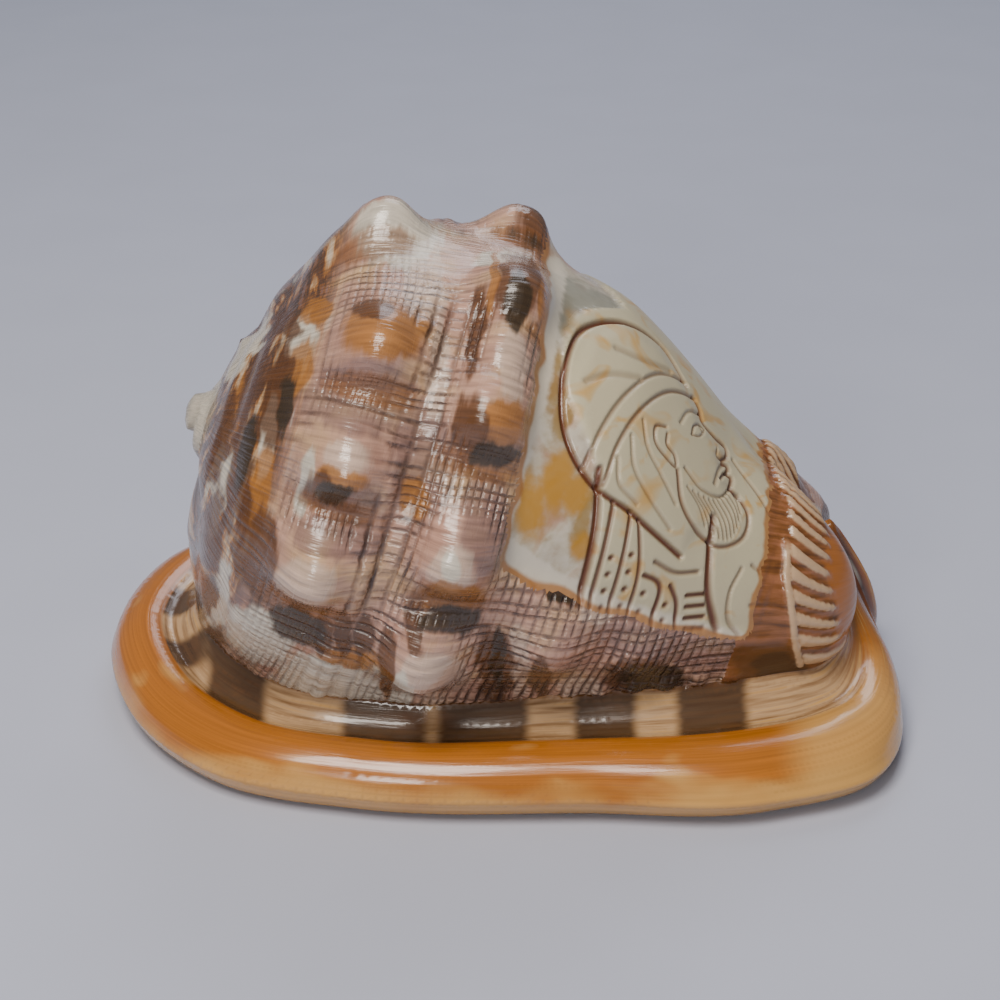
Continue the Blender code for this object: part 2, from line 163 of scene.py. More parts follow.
WINDOW_DEPTH = 1.4
WINDOW_ALONG = (56.5, 104.0)
WINDOW_INNER_TURN = -48.0
WINDOW_OUTER_TURN, WINDOW_OUTER_SLANT = 84.0, 0.42
WINDOW_EDGE, WINDOW_EDGE_TURN = 2.0, 3.0

# The way down the skin, at the ends of its stretches
FOOT, RIM, SLOT, THROAT, FLOOR, CEILING = 1.0, 2.0, 3.0, 4.0, 5.0, 6.0


def smoothstep(low, high, x):
    """0 below low, 1 above high and a smooth rise between."""
    t = np.clip((x - low) / (high - low), 0.0, 1.0)
    return t * t * (3 - 2 * t)


def unit(vectors):
    """The vectors, each made one long."""
    return vectors / np.maximum(np.linalg.norm(vectors, axis=-1, keepdims=True), 1e-9)


def through(table, x):
    """The smooth curve through a table of (place, value), read at x."""
    places, values = np.array(table, float).T
    slopes = np.gradient(values, places)
    i = np.clip(np.searchsorted(places, x) - 1, 0, len(places) - 2)
    span = places[i + 1] - places[i]
    t = np.clip((x - places[i]) / span, 0.0, 1.0)
    return ((1 + 2 * t) * (1 - t) ** 2 * values[i] + t * (1 - t) ** 2 * span * slopes[i]
            + t * t * (3 - 2 * t) * values[i + 1] + t * t * (t - 1) * span * slopes[i + 1])


def round_loop(knots, points, turn):
    """The closed smooth curve through points at knots, read at turn, from 0 to 1."""
    n = len(points)
    later = np.roll(points, -1, axis=0)
    earlier = np.roll(points, 1, axis=0)
    after = np.append(knots[1:], 1.0) - knots
    before = np.roll(after, 1)
    slopes = ((later - points) / after[:, None] * before[:, None]
              + (points - earlier) / before[:, None] * after[:, None]) / (after + before)[:, None]
    turn = turn % 1.0
    i = np.clip(np.searchsorted(knots, turn, side="right") - 1, 0, n - 1)
    j = (i + 1) % n
    t = ((turn - knots[i]) / after[i])[:, None]
    span = after[i][:, None]
    return ((1 + 2 * t) * (1 - t) ** 2 * points[i] + t * (1 - t) ** 2 * span * slopes[i]
            + t * t * (3 - 2 * t) * points[j] + t * t * (t - 1) * span * slopes[j])


def station_loops():
    """The four loops of STATIONS, with knots spaced by the mean length of rim and slot between stations."""
    loops = np.array(STATIONS, float).transpose(1, 0, 2)
    steps = np.linalg.norm(np.roll(loops, -1, axis=1) - loops, axis=2)
    length = 0.5 * steps[1] + 0.5 * steps[2]
    knots = np.concatenate(([0.0], np.cumsum(length)[:-1])) / length.sum()
    return knots, loops


def whorl_place(points):
    """Distance along the axis, radius from it and turn round it, in degrees towards the outer lip."""
    q = points - APEX
    up = q @ AXIS_UP
    side = -q[..., 1]
    return q @ AXIS, np.hypot(up, side), np.degrees(np.arctan2(side, up))


def leaning_row(along, turn):
    """The distance along the axis that a row of lumps or a cord keeps as it runs round the whorl."""
    return along + ROW_LEAN_PER_TURN * np.maximum(turn - ROW_LEANS_FROM, 0.0) / 360


def lumps(along, turn, radius):
    """Height of the rows of lumps at a place on the whorl."""
    height = np.zeros_like(along)
    for row_along, lump_height, half_length, half_width, turns in LUMP_ROWS:
        for lump_turn in turns:
            sideways = np.radians(turn - lump_turn) * np.maximum(radius, 20.0)
            leaning = row_along - ROW_LEAN_PER_TURN * max(lump_turn - ROW_LEANS_FROM, 0.0) / 360
            sideways = sideways / half_width / np.where(sideways > 0, LUMP_BELOW, LUMP_ABOVE)
            d = np.hypot((along - leaning) / half_length, sideways)
            height = np.maximum(height, lump_height * np.exp(-LUMP_FALL * d ** LUMP_FLATNESS))
    return height


def spire_whorls(along, turn, radius):
    """The steps where each whorl of the spire tucks under the one before."""
    phase = np.log(np.maximum(radius, 0.5)) / SPIRE_GROWTH / math.tau - turn / 360
    step = phase % 1.0
    rise = smoothstep(0.0, SPIRE_LEDGE_TOP, step) - smoothstep(SPIRE_LEDGE_DROP, 1.0, step)
    ledge = SPIRE_STEP * (rise - 0.5)
    shown = smoothstep(SPIRE_INNER, SPIRE_INNER + 2, radius)
    shown = shown * (1 - smoothstep(SPIRE_OUTER - 6, SPIRE_OUTER, radius)) * (along < SPIRE_ENDS_ALONG)
    return ledge * shown


def window(along, turn):
    """1 in the ground window, 0 outside it."""
    start, end = WINDOW_ALONG
    outer = WINDOW_OUTER_TURN + WINDOW_OUTER_SLANT * (along - start)
    share = smoothstep(start - WINDOW_EDGE, start + WINDOW_EDGE, along)
    share = share * (1 - smoothstep(end - WINDOW_EDGE, end + WINDOW_EDGE, along))
    inner, soft = WINDOW_INNER_TURN, WINDOW_EDGE_TURN
    share = share * smoothstep(inner - soft, inner + soft, turn)
    return share * (1 - smoothstep(outer - soft, outer + soft, turn))


def back_radius(along, turn, radius):
    """The radius of the shell's back at a place along and round the axis, with its lumps and window."""
    crest_ends = np.where(turn > 0, CREST_ENDS_OUTER, CREST_ENDS_INNER)
    low = smoothstep(crest_ends, FLANK_STARTS, np.abs(turn))
    base = (1 - low) * through(CREST_PROFILE, along) + low * through(FLANK_PROFILE, along)
    base = np.where(along < CREST_PROFILE[0][0], 0.0, base)
    return base + lumps(along, turn, radius) - WINDOW_DEPTH * window(along, turn)


def reach_of_back(directions):
    """How far rays from the heart of the shell run before they leave its back."""
    near = np.zeros(len(directions))
    far = np.full(len(directions), RAY_LENGTH)
    for _ in range(RAY_HALVINGS):
        reach = (near + far) / 2
        along, radius, turn = whorl_place(HEART + directions * reach[:, None])
        inside = radius < back_radius(along, turn, radius)
        near = np.where(inside, reach, near)
        far = np.where(inside, far, reach)
    return (near + far) / 2


def between(a, b, share):
    """Directions part of the way round from a to b."""
    angle = np.arccos(np.clip((a * b).sum(-1), -1, 1))[:, None]
    sine = np.maximum(np.sin(angle), 1e-6)
    share = share[:, None]
    return (np.sin((1 - share) * angle) * a + np.sin(share * angle) * b) / sine


def lip_curve(table, width, share_of_way):
    """Share along the chord and height off it, evenly spaced along the lip's curve."""
    shares, heights = np.array(table, float).T
    steps = np.hypot(np.diff(shares) * width, np.diff(heights))
    way = np.concatenate(([0.0], np.cumsum(steps))) / steps.sum()
    return (through(np.stack((way, shares), 1), share_of_way)[:, None],
            through(np.stack((way, heights), 1), share_of_way)[:, None])


class Skin:
    """The skin's points, at turns round the mouth and ways down it, all arrays of one length."""

    def __init__(self, turns):
        knots, loops = station_loops()
        self.foot, self.rim, self.slot, self.throat = (round_loop(knots, loop, turns) for loop in loops)
        canal = np.array(CANAL_SHARE, float)[:, None]
        self.canal = np.clip(round_loop(knots, canal, turns), 0, 1)
        self.turns = turns

    def points(self, way):
        """Every point, each by the stretch of the skin that it is on."""
        stretches = (
            (0.0, FOOT, self.back), (FOOT, RIM, self.lip_top), (RIM, SLOT, self.lip_under),
            (SLOT, THROAT, self.slot_wall), (THROAT, FLOOR, self.up_to_floor),
            (FLOOR, CEILING + 1, self.chamber),
        )
        out = np.zeros((len(way), 3))
        for start, end, make in stretches:
            here = (way >= start) & (way < end)
            if here.any():
                part = Skin(self.turns[here])
                out[here] = getattr(part, make.__name__)(way[here] - start)
        return out

    def back(self, share):
        """Points on the back, from the crown at share 0 to the foot at share 1."""
        share = share ** ROW_SPREAD
        ray = unit(self.foot - HEART)
        gap = np.linalg.norm(self.foot - HEART, axis=1) - reach_of_back(ray)
        up = np.tile(np.array((0.0, 0.0, 1.0)), (len(self.turns), 1))
        directions = unit(between(up, ray, share))
        reach = reach_of_back(directions) + gap * smoothstep(FOOT_FIT_STARTS, 1.0, share)
        points = HEART + directions * reach[:, None]
        along, radius, turn = whorl_place(points)
        return points - AXIS * spire_whorls(along, turn, radius)[:, None]

    def lip_top(self, share_of_way):
        """Points on the lip's upper side, from the foot of the back to the rim."""
        share, height = lip_curve(LIP_TOP, LIP_TOP_WIDTH, share_of_way)
        chord = self.rim - self.foot
        along = unit(chord)
        up = np.array((0.0, 0.0, 1.0))
        lift = unit(up - along * (along @ up)[:, None])
        return self.foot + chord * share + lift * height * (1 - TOP_THINNING * self.canal)

    def lip_under(self, share_of_way):
        """Points on the lip's underside, from the rim to the slot's edge, flat where they meet the table."""
        share, depth = lip_curve(LIP_UNDER, LIP_UNDER_WIDTH, share_of_way)
        under = unit(self.canal * UNDER_CANAL + (1 - self.canal) * np.array((0, 0, -1.0)))
        points = self.rim + (self.slot - self.rim) * share + under * depth * (1 - CANAL_THINNING * self.canal)
        points[:, 2] = np.maximum(points[:, 2], 0.0)
        return points + self.teeth(smoothstep(*TEETH_RISE, share[:, 0]))

    def teeth(self, strength):
        """How far the slot's edge is drawn in by its teeth."""
        off = (self.slot[:, 0] - SLOT_BOW_X) / SLOT_BOW_LENGTH
        middle = SLOT_SIDE - SLOT_BOW * np.exp(-off * off)
        centre = np.stack((np.clip(self.slot[:, 0], *SLOT_ENDS), middle, self.slot[:, 2]), 1)
        outwards = unit((self.slot - centre) * np.array((1.0, 1.0, 0.0)))
        wave = 0.5 - 0.5 * np.cos(math.tau * TEETH * self.turns)
        plain = smoothstep(*TEETH_END, self.canal[:, 0])
        return (-TOOTH_HEIGHT * strength * wave * (1 - plain))[:, None] * outwards

    def slot_wall(self, share):
        """Points on the slot's wall, from its edge to its throat."""
        return self.slot + (self.throat - self.slot) * share[:, None] + self.teeth(1 - share)

    def floor(self):
        """The loop in the chamber's floor that the slot opens into."""
        azimuth = math.tau * self.turns
        x = HEART[0] + FLOOR_RADII[0] * np.cos(azimuth)
        y = HEART[1] - FLOOR_RADII[1] * np.sin(azimuth)
        return np.stack((x, y, np.full(len(azimuth), FLOOR_HEIGHT)), 1)

    def up_to_floor(self, share):
        """Points from the slot's throat up to the chamber's floor."""
        return self.throat + (self.floor() - self.throat) * share[:, None]

    def chamber(self, share):
        """Points on the chamber's wall, an egg round the heart that keeps the wall's thickness."""
        azimuth = math.tau * self.turns
        elevation = np.radians(CHAMBER_STARTS + (90 - CHAMBER_STARTS) * share)
        level = np.cos(elevation)
        ray = np.stack((level * np.cos(azimuth), -level * np.sin(azimuth), np.sin(elevation)), 1)
        reach = np.minimum(1 / np.linalg.norm(ray / CHAMBER_RADII, axis=1), reach_of_back(ray) - WALL)
        wall = HEART + ray * reach[:, None]
        starting = smoothstep(0.0, 0.15, share)[:, None]
        return self.floor() * (1 - starting) + wall * starting


# The camera that the photograph was taken from, which also carries the drawing plane of the colour marks

CAMERA_ELEVATION = math.radians(27.0)
CAMERA_TARGET = np.array((-1.0, 0.0, 37.0))
CAMERA_DISTANCE = 393.0
LENS, SENSOR = 75.0, 36.0


def drawing_place(points):
    """Across and up, in millimetres, as the near side is seen from the camera's side."""
    forward = np.array((0.0, math.cos(CAMERA_ELEVATION), -math.sin(CAMERA_ELEVATION)))
    upward = np.array((0.0, math.sin(CAMERA_ELEVATION), math.cos(CAMERA_ELEVATION)))
    q = points - CAMERA_TARGET
    nearer = CAMERA_DISTANCE / (CAMERA_DISTANCE + q @ forward)
    return np.stack((q[:, 0] * nearer, (q @ upward) * nearer), 1)


# The carving's own drawing plane, which faces the window squarely: its middle, its two directions, the
# middle's place in the drawing, and how it is narrowed and sheared to agree with drawing_place there

WINDOW_MIDDLE = np.array((26.6, -24.8, 61.3))
WINDOW_ACROSS = np.array((0.901, 0.351, -0.255))
WINDOW_UP = np.array((0.0, 0.588, 0.808))
WINDOW_IN_DRAWING = np.array((30.2, 11.3))
WINDOW_SQUEEZE, WINDOW_SKEW = 0.9, -0.07


def window_place(points):
    """Across and up, in millimetres, as the window is seen squarely from outside."""
    q = points - WINDOW_MIDDLE
    across = q @ WINDOW_ACROSS
    return WINDOW_IN_DRAWING + np.stack((WINDOW_SQUEEZE * across, q @ WINDOW_UP + WINDOW_SKEW * across), 1)


# The mesh: a coarse grid of turns and ways, whose edges are halved until they are short enough

GRID_TURNS = 96
GRID_WAYS = (
    *np.linspace(0.0, FOOT, 25)[1:-1], FOOT, 1.08, 1.17, 1.27, 1.36, 1.44, 1.54, 1.66, 1.78, 1.9, RIM,
    2.03, 2.07, 2.12, 2.18, 2.26, 2.36, 2.48, 2.6, 2.72, 2.8, 2.87, 2.93, 2.97, SLOT, 3.35, THROAT, 4.5,
    FLOOR, 5.1, 5.25, 5.4, 5.55, 5.7, 5.85,
)
MOST_HALVINGS = 7


def coarse_grid():
    """Turns, ways and triangles of the grid, with one point at each pole."""
    ways = np.array(GRID_WAYS)
    turn = np.arange(GRID_TURNS) / GRID_TURNS
    turns = np.concatenate((np.tile(turn, len(ways)), (0.0, 0.0)))
    downs = np.concatenate((np.repeat(ways, GRID_TURNS), (0.0, CEILING)))
    crown, ceiling = len(turns) - 2, len(turns) - 1
    column = np.arange(GRID_TURNS)
    after = (column + 1) % GRID_TURNS
    faces = [np.stack((np.full(GRID_TURNS, crown), after, column), 1)]
    for row in range(len(ways) - 1):
        a, b = row * GRID_TURNS + column, row * GRID_TURNS + after
        c, d = b + GRID_TURNS, a + GRID_TURNS
        faces += [np.stack((a, b, c), 1), np.stack((a, c, d), 1)]
    last = (len(ways) - 1) * GRID_TURNS
    faces.append(np.stack((last + column, last + after, np.full(GRID_TURNS, ceiling)), 1))
    return turns, downs, np.concatenate(faces)


# Longest edges in mm: on the back's far and near side, the lip's far side and near side, and the chamber
FAR_EDGE, NEAR_EDGE, LIP_EDGE, NEAR_LIP_EDGE, CHAMBER_EDGE = 2.3, 0.75, 2.8, 1.3, 7.0
# On the back an edge may be so many times longer across the axis than along it
ROUND_SHARE = 2.2
# At a cut line, far from one, and among the ribs of the fringe
CARVED_EDGE, PLAIN_WINDOW_EDGE, FRINGE_EDGE = 0.4, 1.6, 0.9
# The turn past which the fringe has ribs, and how far past the rim the lip's relief runs
FRINGE_TURN, RELIEF_PAST_RIM = -50.0, 0.12


def wanted_lengths(turns, ways, points, detail):
    """How long an edge may be, along the axis and across it."""
    along, _, turn = whorl_place(points)
    near = smoothstep(-20.0, 5.0, turn)
    cut = (window(along, turn) * near > 0.2) & (ways < FOOT)
    length = FAR_EDGE + (NEAR_EDGE - FAR_EDGE) * near
    near_lip = smoothstep(2.0, -6.0, points[:, 1])
    length = np.where(ways > FOOT, LIP_EDGE + (NEAR_LIP_EDGE - LIP_EDGE) * near_lip, length)
    length = np.where(ways > RIM + RELIEF_PAST_RIM, LIP_EDGE, length)
    length = np.where(ways > THROAT, CHAMBER_EDGE, length)
    across = np.where(ways < FOOT, length * ROUND_SHARE, length)
    fringe = (ways < FOOT) & (along > WINDOW_ALONG[1]) & (turn > FRINGE_TURN)
    off = off_carving(window_place(points[cut]))
    for lengths in (length, across):
        lengths[cut] = CARVED_EDGE + (PLAIN_WINDOW_EDGE - CARVED_EDGE) * smoothstep(0.5, 2.2, off)
        lengths[fringe] = FRINGE_EDGE
    return length * detail, across * detail


def halve_long_edges(turns, ways, points, faces, detail):
    """One round of halving: each triangle is cut into two, three or four, by how many edges are too long."""
    ends = np.sort(np.concatenate((faces[:, [0, 1]], faces[:, [1, 2]], faces[:, [2, 0]])), axis=1)
    key = ends[:, 0].astype(np.int64) * len(turns) + ends[:, 1]
    key, index = np.unique(key, return_inverse=True)
    first, second = key // len(turns), key % len(turns)
    pole_first = (ways[first] == 0) | (ways[first] == CEILING)
    pole_second = (ways[second] == 0) | (ways[second] == CEILING)
    start = np.where(pole_first, turns[second], turns[first])
    end = np.where(pole_second, turns[first], turns[second])
    step = (end - start + 0.5) % 1.0 - 0.5
    middle_turn = (start + 0.5 * step) % 1.0
    middle_way = (ways[first] + ways[second]) / 2
    middle = (points[first] + points[second]) / 2
    edge = points[second] - points[first]
    length, across = wanted_lengths(middle_turn, middle_way, middle, detail)
    along = edge @ AXIS
    side = np.sqrt(np.maximum((edge * edge).sum(1) - along * along, 0.0))
    long = np.hypot(along / length, side / across) > 1.0
    number = np.full(len(key), -1)
    number[long] = len(turns) + np.arange(long.sum())
    cuts = number[index].reshape(3, -1).T
    marked = cuts >= 0
    count = marked.sum(1)
    # Each triangle is turned so that its one long edge, or its one short edge, comes in a known place
    roll = np.where(count == 1, marked.argmax(1), np.where(count == 2, (marked.argmin(1) + 1) % 3, 0))
    order = (roll[:, None] + np.arange(3)) % 3
    f = np.take_along_axis(faces, order, 1)
    m = np.take_along_axis(cuts, order, 1)
    a, b, c = f.T
    ab, bc, ca = m.T
    pieces = []
    for which, triangles in (
        (0, ((a, b, c),)),
        (1, ((a, ab, c), (ab, b, c))),
        (2, ((ab, b, bc), (a, ab, bc), (a, bc, c))),
        (3, ((a, ab, ca), (ab, b, bc), (ca, bc, c), (ab, bc, ca))),
    ):
        here = count == which
        pieces += [np.stack(triangle, 1)[here] for triangle in triangles]
    turns = np.concatenate((turns, middle_turn[long]))
    ways = np.concatenate((ways, middle_way[long]))
    fresh = Skin(middle_turn[long]).points(middle_way[long])
    return turns, ways, np.concatenate((points, fresh)), np.concatenate(pieces), bool(long.any())


def vertex_normals(points, faces):
    """Each point's normal, the mean of the triangles round it by their areas."""
    corners = points[faces]
    flat = np.cross(corners[:, 1] - corners[:, 0], corners[:, 2] - corners[:, 0])
    normals = np.zeros_like(points)
    for corner in range(3):
        for axis in range(3):
            normals[:, axis] += np.bincount(faces[:, corner], flat[:, axis], len(points))
    return unit(normals)


# The relief on the back: cords round the whorl and growth lines across them, in mm

FLANK_ENDS = 22.0
GROWTH_RADIUS = 43.0
USUAL_CORD = 1.45
# From each place on, the width of a cord
CORD_WIDTHS = ((-40.0, 2.6), (20.0, 1.25), (34.5, 3.0), (40.5, 1.45), (60.0, 1.7))
CORDS_FROM, CORDS_TO, CORD_SPREAD, CORD_BEND = -40, 125, 0.16, 0.5
GROWTH_REACH, GROWTH_SPREAD, GROWTH_SLANT, GROWTH_WAVER = 150, 0.5, 1.2, 0.4
BEAD_PITCH, BEAD_SPREAD, BEAD_ROW, BEAD_ROW_WIDTH, BEAD_HEIGHT = 3.6, 0.4, 37.8, 2.6, 0.9


def meridian(along):
    """Millimetres over the shell from spire to canal, which is the distance along the axis past the flank."""
    places, radii = np.array(FLANK_PROFILE, float).T
    lengths = np.concatenate(([0.0], np.cumsum(np.hypot(np.diff(places), np.diff(radii)))))
    lengths += FLANK_ENDS - np.interp(FLANK_ENDS, places, lengths)
    return np.where(along < FLANK_ENDS, np.interp(along, places, lengths), along)


def uneven_grooves(start, end, widths, spread, seed):
    """Places of grooves whose spacing follows a table of widths, each a little off it."""
    random = np.random.default_rng(seed)
    places, values = np.array(widths, float).T
    at, grooves = start, []
    while at < end:
        grooves.append(at)
        width = values[max(np.searchsorted(places, at, side="right") - 1, 0)]
        at += width * (1 + spread * random.uniform(-1, 1))
    return np.array(grooves)


def groove_count(x, grooves):
    """How many grooves lie before each place, with the share of the way to the next one."""
    return np.interp(x, grooves, np.arange(len(grooves)))


def ridge(count):
    """1 on the round ridge between two grooves, 0 in them, from the count of grooves."""
    t = count % 1.0
    return (4 * t * (1 - t)) ** 0.6


# How many waves are laid over one another, and how far their mean is raised to reach about 1
WAVES, WAVE_GAIN = 5, 1.6


def slow_waves(x, y, length, seed):
    """A smooth unevenness from -1 to 1, about so long."""
    random = np.random.default_rng(seed)
    total = np.zeros_like(x)
    for _ in range(WAVES):
        angle, phase = random.uniform(0, math.tau, 2)
        stretch = random.uniform(0.6, 1.5)
        total += np.sin((x * math.cos(angle) + y * math.sin(angle)) * math.tau / length * stretch + phase)
    return total / WAVES * WAVE_GAIN


# The carving. Lines and forms are drawn in millimetres across and up, as the window is seen squarely.

HEAD_PLACE = np.array((32.4, 11.5))
HEAD_HEIGHT = 32.5
HEAD_TILT = math.radians(17.0)
# Lines of the head, in shares of its height, from a middle point: right is the way that it faces
HEAD_LINES = {
    # name: width and depth in mm, stain, points
    "face": (1.0, 0.55, 0.9, (
        (0.32, 0.19), (0.325, 0.12), (0.30, 0.05), (0.345, -0.05), (0.405, -0.145), (0.385, -0.178),
        (0.325, -0.195), (0.352, -0.245), (0.322, -0.272), (0.345, -0.3), (0.312, -0.345), (0.335, -0.42))),
    "cap_edge": (1.1, 0.8, 1.0, (
        (0.31, 0.27), (0.27, 0.52), (0.06, 0.7), (-0.24, 0.7), (-0.46, 0.47), (-0.56, 0.15), (-0.5, -0.12),
        (-0.34, -0.32), (-0.24, -0.46), (-0.12, -0.62))),
    "band_low": (0.9, 0.45, 0.7, ((0.33, 0.18), (0.12, 0.25), (-0.14, 0.19), (-0.34, 0.04), (-0.46, -0.13))),
    "band_high": (0.9, 0.45, 0.6, ((0.315, 0.28), (0.1, 0.36), (-0.17, 0.3), (-0.41, 0.13), (-0.53, -0.02))),
    "cap_fold": (1.4, 0.35, 0.35, ((0.2, 0.36), (0.02, 0.46), (-0.1, 0.55))),
    "cap_fold_low": (1.4, 0.35, 0.3, ((-0.05, 0.36), (-0.22, 0.42), (-0.36, 0.42))),
    "brow": (0.8, 0.35, 0.4, ((0.1, 0.07), (0.19, 0.115), (0.3, 0.09))),
    "lid": (0.6, 0.35, 0.7, ((0.15, -0.01), (0.195, 0.032), (0.25, 0.028), (0.275, -0.002))),
    "under_lid": (0.5, 0.3, 0.6, ((0.15, -0.01), (0.2, -0.03), (0.262, -0.012))),
    "pupil": (0.6, 0.35, 0.7, ((0.238, 0.014), (0.243, -0.008))),
    "nose_wing": (0.6, 0.35, 0.6, ((0.31, -0.125), (0.287, -0.16), (0.318, -0.188))),
    "mouth": (0.7, 0.45, 0.9, ((0.34, -0.272), (0.295, -0.268), (0.245, -0.285))),
    "moustache": (1.0, 0.4, 0.5, ((0.32, -0.215), (0.26, -0.235), (0.19, -0.3))),
    "ear": (0.7, 0.4, 0.7, (
        (-0.01, 0.07), (-0.07, 0.09), (-0.11, 0.02), (-0.075, -0.09), (-0.035, -0.15), (-0.02, -0.09),
        (-0.045, -0.02), (-0.02, 0.03))),
    "beard_edge": (0.9, 0.5, 0.8, (
        (0.335, -0.4), (0.35, -0.52), (0.27, -0.63), (0.12, -0.64), (0.0, -0.52), (-0.06, -0.34),
        (-0.03, -0.17))),
    "beard_top": (0.7, 0.4, 0.5, ((0.31, -0.35), (0.2, -0.38), (0.09, -0.31), (0.02, -0.17))),
    "hair": (0.7, 0.35, 0.4, ((-0.14, 0.14), (-0.17, 0.0), (-0.14, -0.16), (-0.1, -0.34))),
    "hair_back": (0.7, 0.35, 0.4, ((-0.24, 0.08), (-0.28, -0.08), (-0.24, -0.26), (-0.16, -0.46))),
    "hair_edge": (0.7, 0.35, 0.4, ((-0.35, -0.01), (-0.38, -0.14), (-0.31, -0.28))),
}
# Hairs of the beard: how many, and the width, depth and stain of each
BEARD_HAIRS, HAIR_CUT = 11, (0.55, 0.3, 0.45)
# Lines of the dress and the border: width and depth in mm, stain, points in mm across and up
DRESS_LINES = (
    (1.2, 0.7, 1.0, ((18.7, 6.0), (18.9, -4.0), (18.3, -19.0))),
    (1.0, 0.5, 0.9, ((21.4, 0.0), (20.6, -10.0), (19.9, -19.5))),
    (0.9, 0.5, 0.9, ((24.6, -1.5), (24.2, -9.0), (23.4, -20.0))),
    (0.8, 0.5, 0.9, ((26.2, -3.0), (27.4, -12.0), (27.0, -20.0))),
    (1.0, 0.5, 1.0, ((28.5, -12.0), (31.2, -13.2), (31.4, -20.4))),
    (0.9, 0.5, 1.0, ((33.6, -13.8), (35.3, -16.5), (36.0, -21.0))),
    (1.4, 0.8, 1.0, ((40.5, -2.0), (40.2, -8.5), (40.8, -15.0), (43.8, -21.5))),
    (0.9, 0.5, 0.7, ((30.0, -9.8), (34.0, -11.6), (38.2, -11.5))),
    (0.8, 0.4, 0.5, ((47.5, 9.0), (52.0, 1.0), (54.6, -8.0), (55.0, -17.0))),
    (0.8, 0.4, 0.5, ((46.5, -11.0), (44.8, -15.0), (45.6, -20.0), (48.0, -22.6))),
    (0.8, 0.4, 0.5, ((48.5, -10.5), (51.5, -13.0), (51.8, -17.0), (49.0, -17.5))),
    (0.8, 0.4, 0.4, ((50.5, -19.0), (52.8, -21.0), (52.0, -24.5))),
)
# Drilled dots of the dress: columns of top dot, number of dots and step down, and each dot's cut
DOT_COLUMNS = ((22.2, -9.0, 4, 2.7), (25.6, -8.6, 4, 2.8), (29.0, -15.0, 2, 3.0), (33.4, -17.0, 2, 2.6))
DOT_CUT = (1.1, 0.5, 1.0)
# Short bars of the dress: their left ends, length, rise and cut
BARS = ((37.0, -15.5), (37.3, -17.4), (37.6, -19.3), (37.9, -21.2))
BAR_LENGTH, BAR_RISE, BAR_CUT = 3.2, 0.2, (0.9, 0.5, 1.0)
# How far the cream layer and the head stand up from their grounds, and how wide the head's rounded edge is
LAYER_HEIGHT, HEAD_RELIEF, HEAD_EDGE = 0.55, 0.55, 3.5
# Ribs of the fringe: where along the axis they start, at each turn
BORDER_ALONG = ((-60.0, 105.0), (38.0, 105.5), (44.0, 107.0), (82.0, 109.0), (105.0, 113.5), (119.0, 117.0))
# Their length in mm, pitch in degrees and height in mm, and over how many mm they run out
RIB_LENGTH, RIB_PITCH, RIB_HEIGHT, RIBS_END = 9.5, 8.4, 0.8, 2.5
# A rib's share of the pitch where it starts, how much of that it loses, and how soft its sides are
RIB_WIDTH, RIB_THINNING, RIB_SIDE = 0.78, 0.3, (0.35, 0.1)
# The turns between which the border line comes in beside the ribs
BORDER_TURNS = (60.0, 80.0)
# Degrees that a rib slants for each mm along the axis, at each turn
RIB_SLANTS = ((-50.0, -1.0), (0.0, 1.5), (44.0, 2.8), (70.0, 1.5), (110.0, 0.4))
# The window's left and lower edge, where a white and an orange line show
WINDOW_LINE = (
    (10.5, 44.0), (9.5, 34.0), (7.5, 22.0), (5.0, 12.0), (1.5, 0.0), (0.3, -8.0), (4.5, -11.5),
    (10.0, -15.5), (16.0, -18.5), (24.0, -21.5), (33.0, -24.0), (44.0, -26.5),
)
# The edge between the marbled flank and the cream layer, and the corners that close it on the right
CREAM_EDGE = (
    (30.0, 37.5), (19.5, 35.0), (14.8, 28.5), (14.0, 19.0), (16.8, 10.5), (18.6, 4.7), (18.6, -21.0),
)
CREAM_CORNERS = ((90.0, -40.0), (90.0, 60.0), (30.0, 60.0))


def drawn_curve(points, spans=6):
    """A smooth line through a few drawn points."""
    points = np.array(points, float)
    steps = np.concatenate(([0.0], np.cumsum(np.linalg.norm(np.diff(points, axis=0), axis=1))))
    at = np.linspace(0, steps[-1], (len(points) - 1) * spans + 1)
    return np.stack([through(np.stack((steps, points[:, k]), 1), at) for k in (0, 1)], 1)


def off_curve(places, curve):
    """The distance of places from a line of short straight spans, and how far along it they are."""
    best = np.full(len(places), 1e9)
    way = np.zeros(len(places))
    lengths = np.linalg.norm(np.diff(curve, axis=0), axis=1)
    starts = np.concatenate(([0.0], np.cumsum(lengths)))
    for a, b, start, length in zip(curve[:-1], curve[1:], starts, lengths):
        t = np.clip(((places - a) @ (b - a)) / max(length * length, 1e-9), 0, 1)
        d = np.linalg.norm(places - a - t[:, None] * (b - a), axis=1)
        nearer = d < best
        best = np.where(nearer, d, best)
        way = np.where(nearer, start + t * length, way)
    return best, way / starts[-1]


def head_to_drawing(points):
    """From shares of the head's height to millimetres in the drawing."""
    right = np.array((math.cos(HEAD_TILT), math.sin(HEAD_TILT)))
    up = np.array((-math.sin(HEAD_TILT), math.cos(HEAD_TILT)))
    points = np.array(points, float) * HEAD_HEIGHT
    return HEAD_PLACE + points[:, :1] * right + points[:, 1:] * up


def beard_hairs():
    """Short curved lines down the beard."""
    hairs = []
    for i in range(BEARD_HAIRS):
        share = i / (BEARD_HAIRS - 1)
        top = np.array((0.0 + 0.29 * share, -0.27 - 0.12 * math.sin(share * math.pi * 0.8)))
        bottom = np.array((0.05 + 0.25 * share, -0.5 - 0.11 * math.sin(share * math.pi)))
        middle = (top + bottom) / 2 + np.array((0.015, 0.0))
        hairs.append((top, middle, bottom))
    return hairs


# How far round a cut line its distance is worked out, and the distance that stands for far off, in mm
LINES_REACH, FAR_OFF = 3.0, 99.0


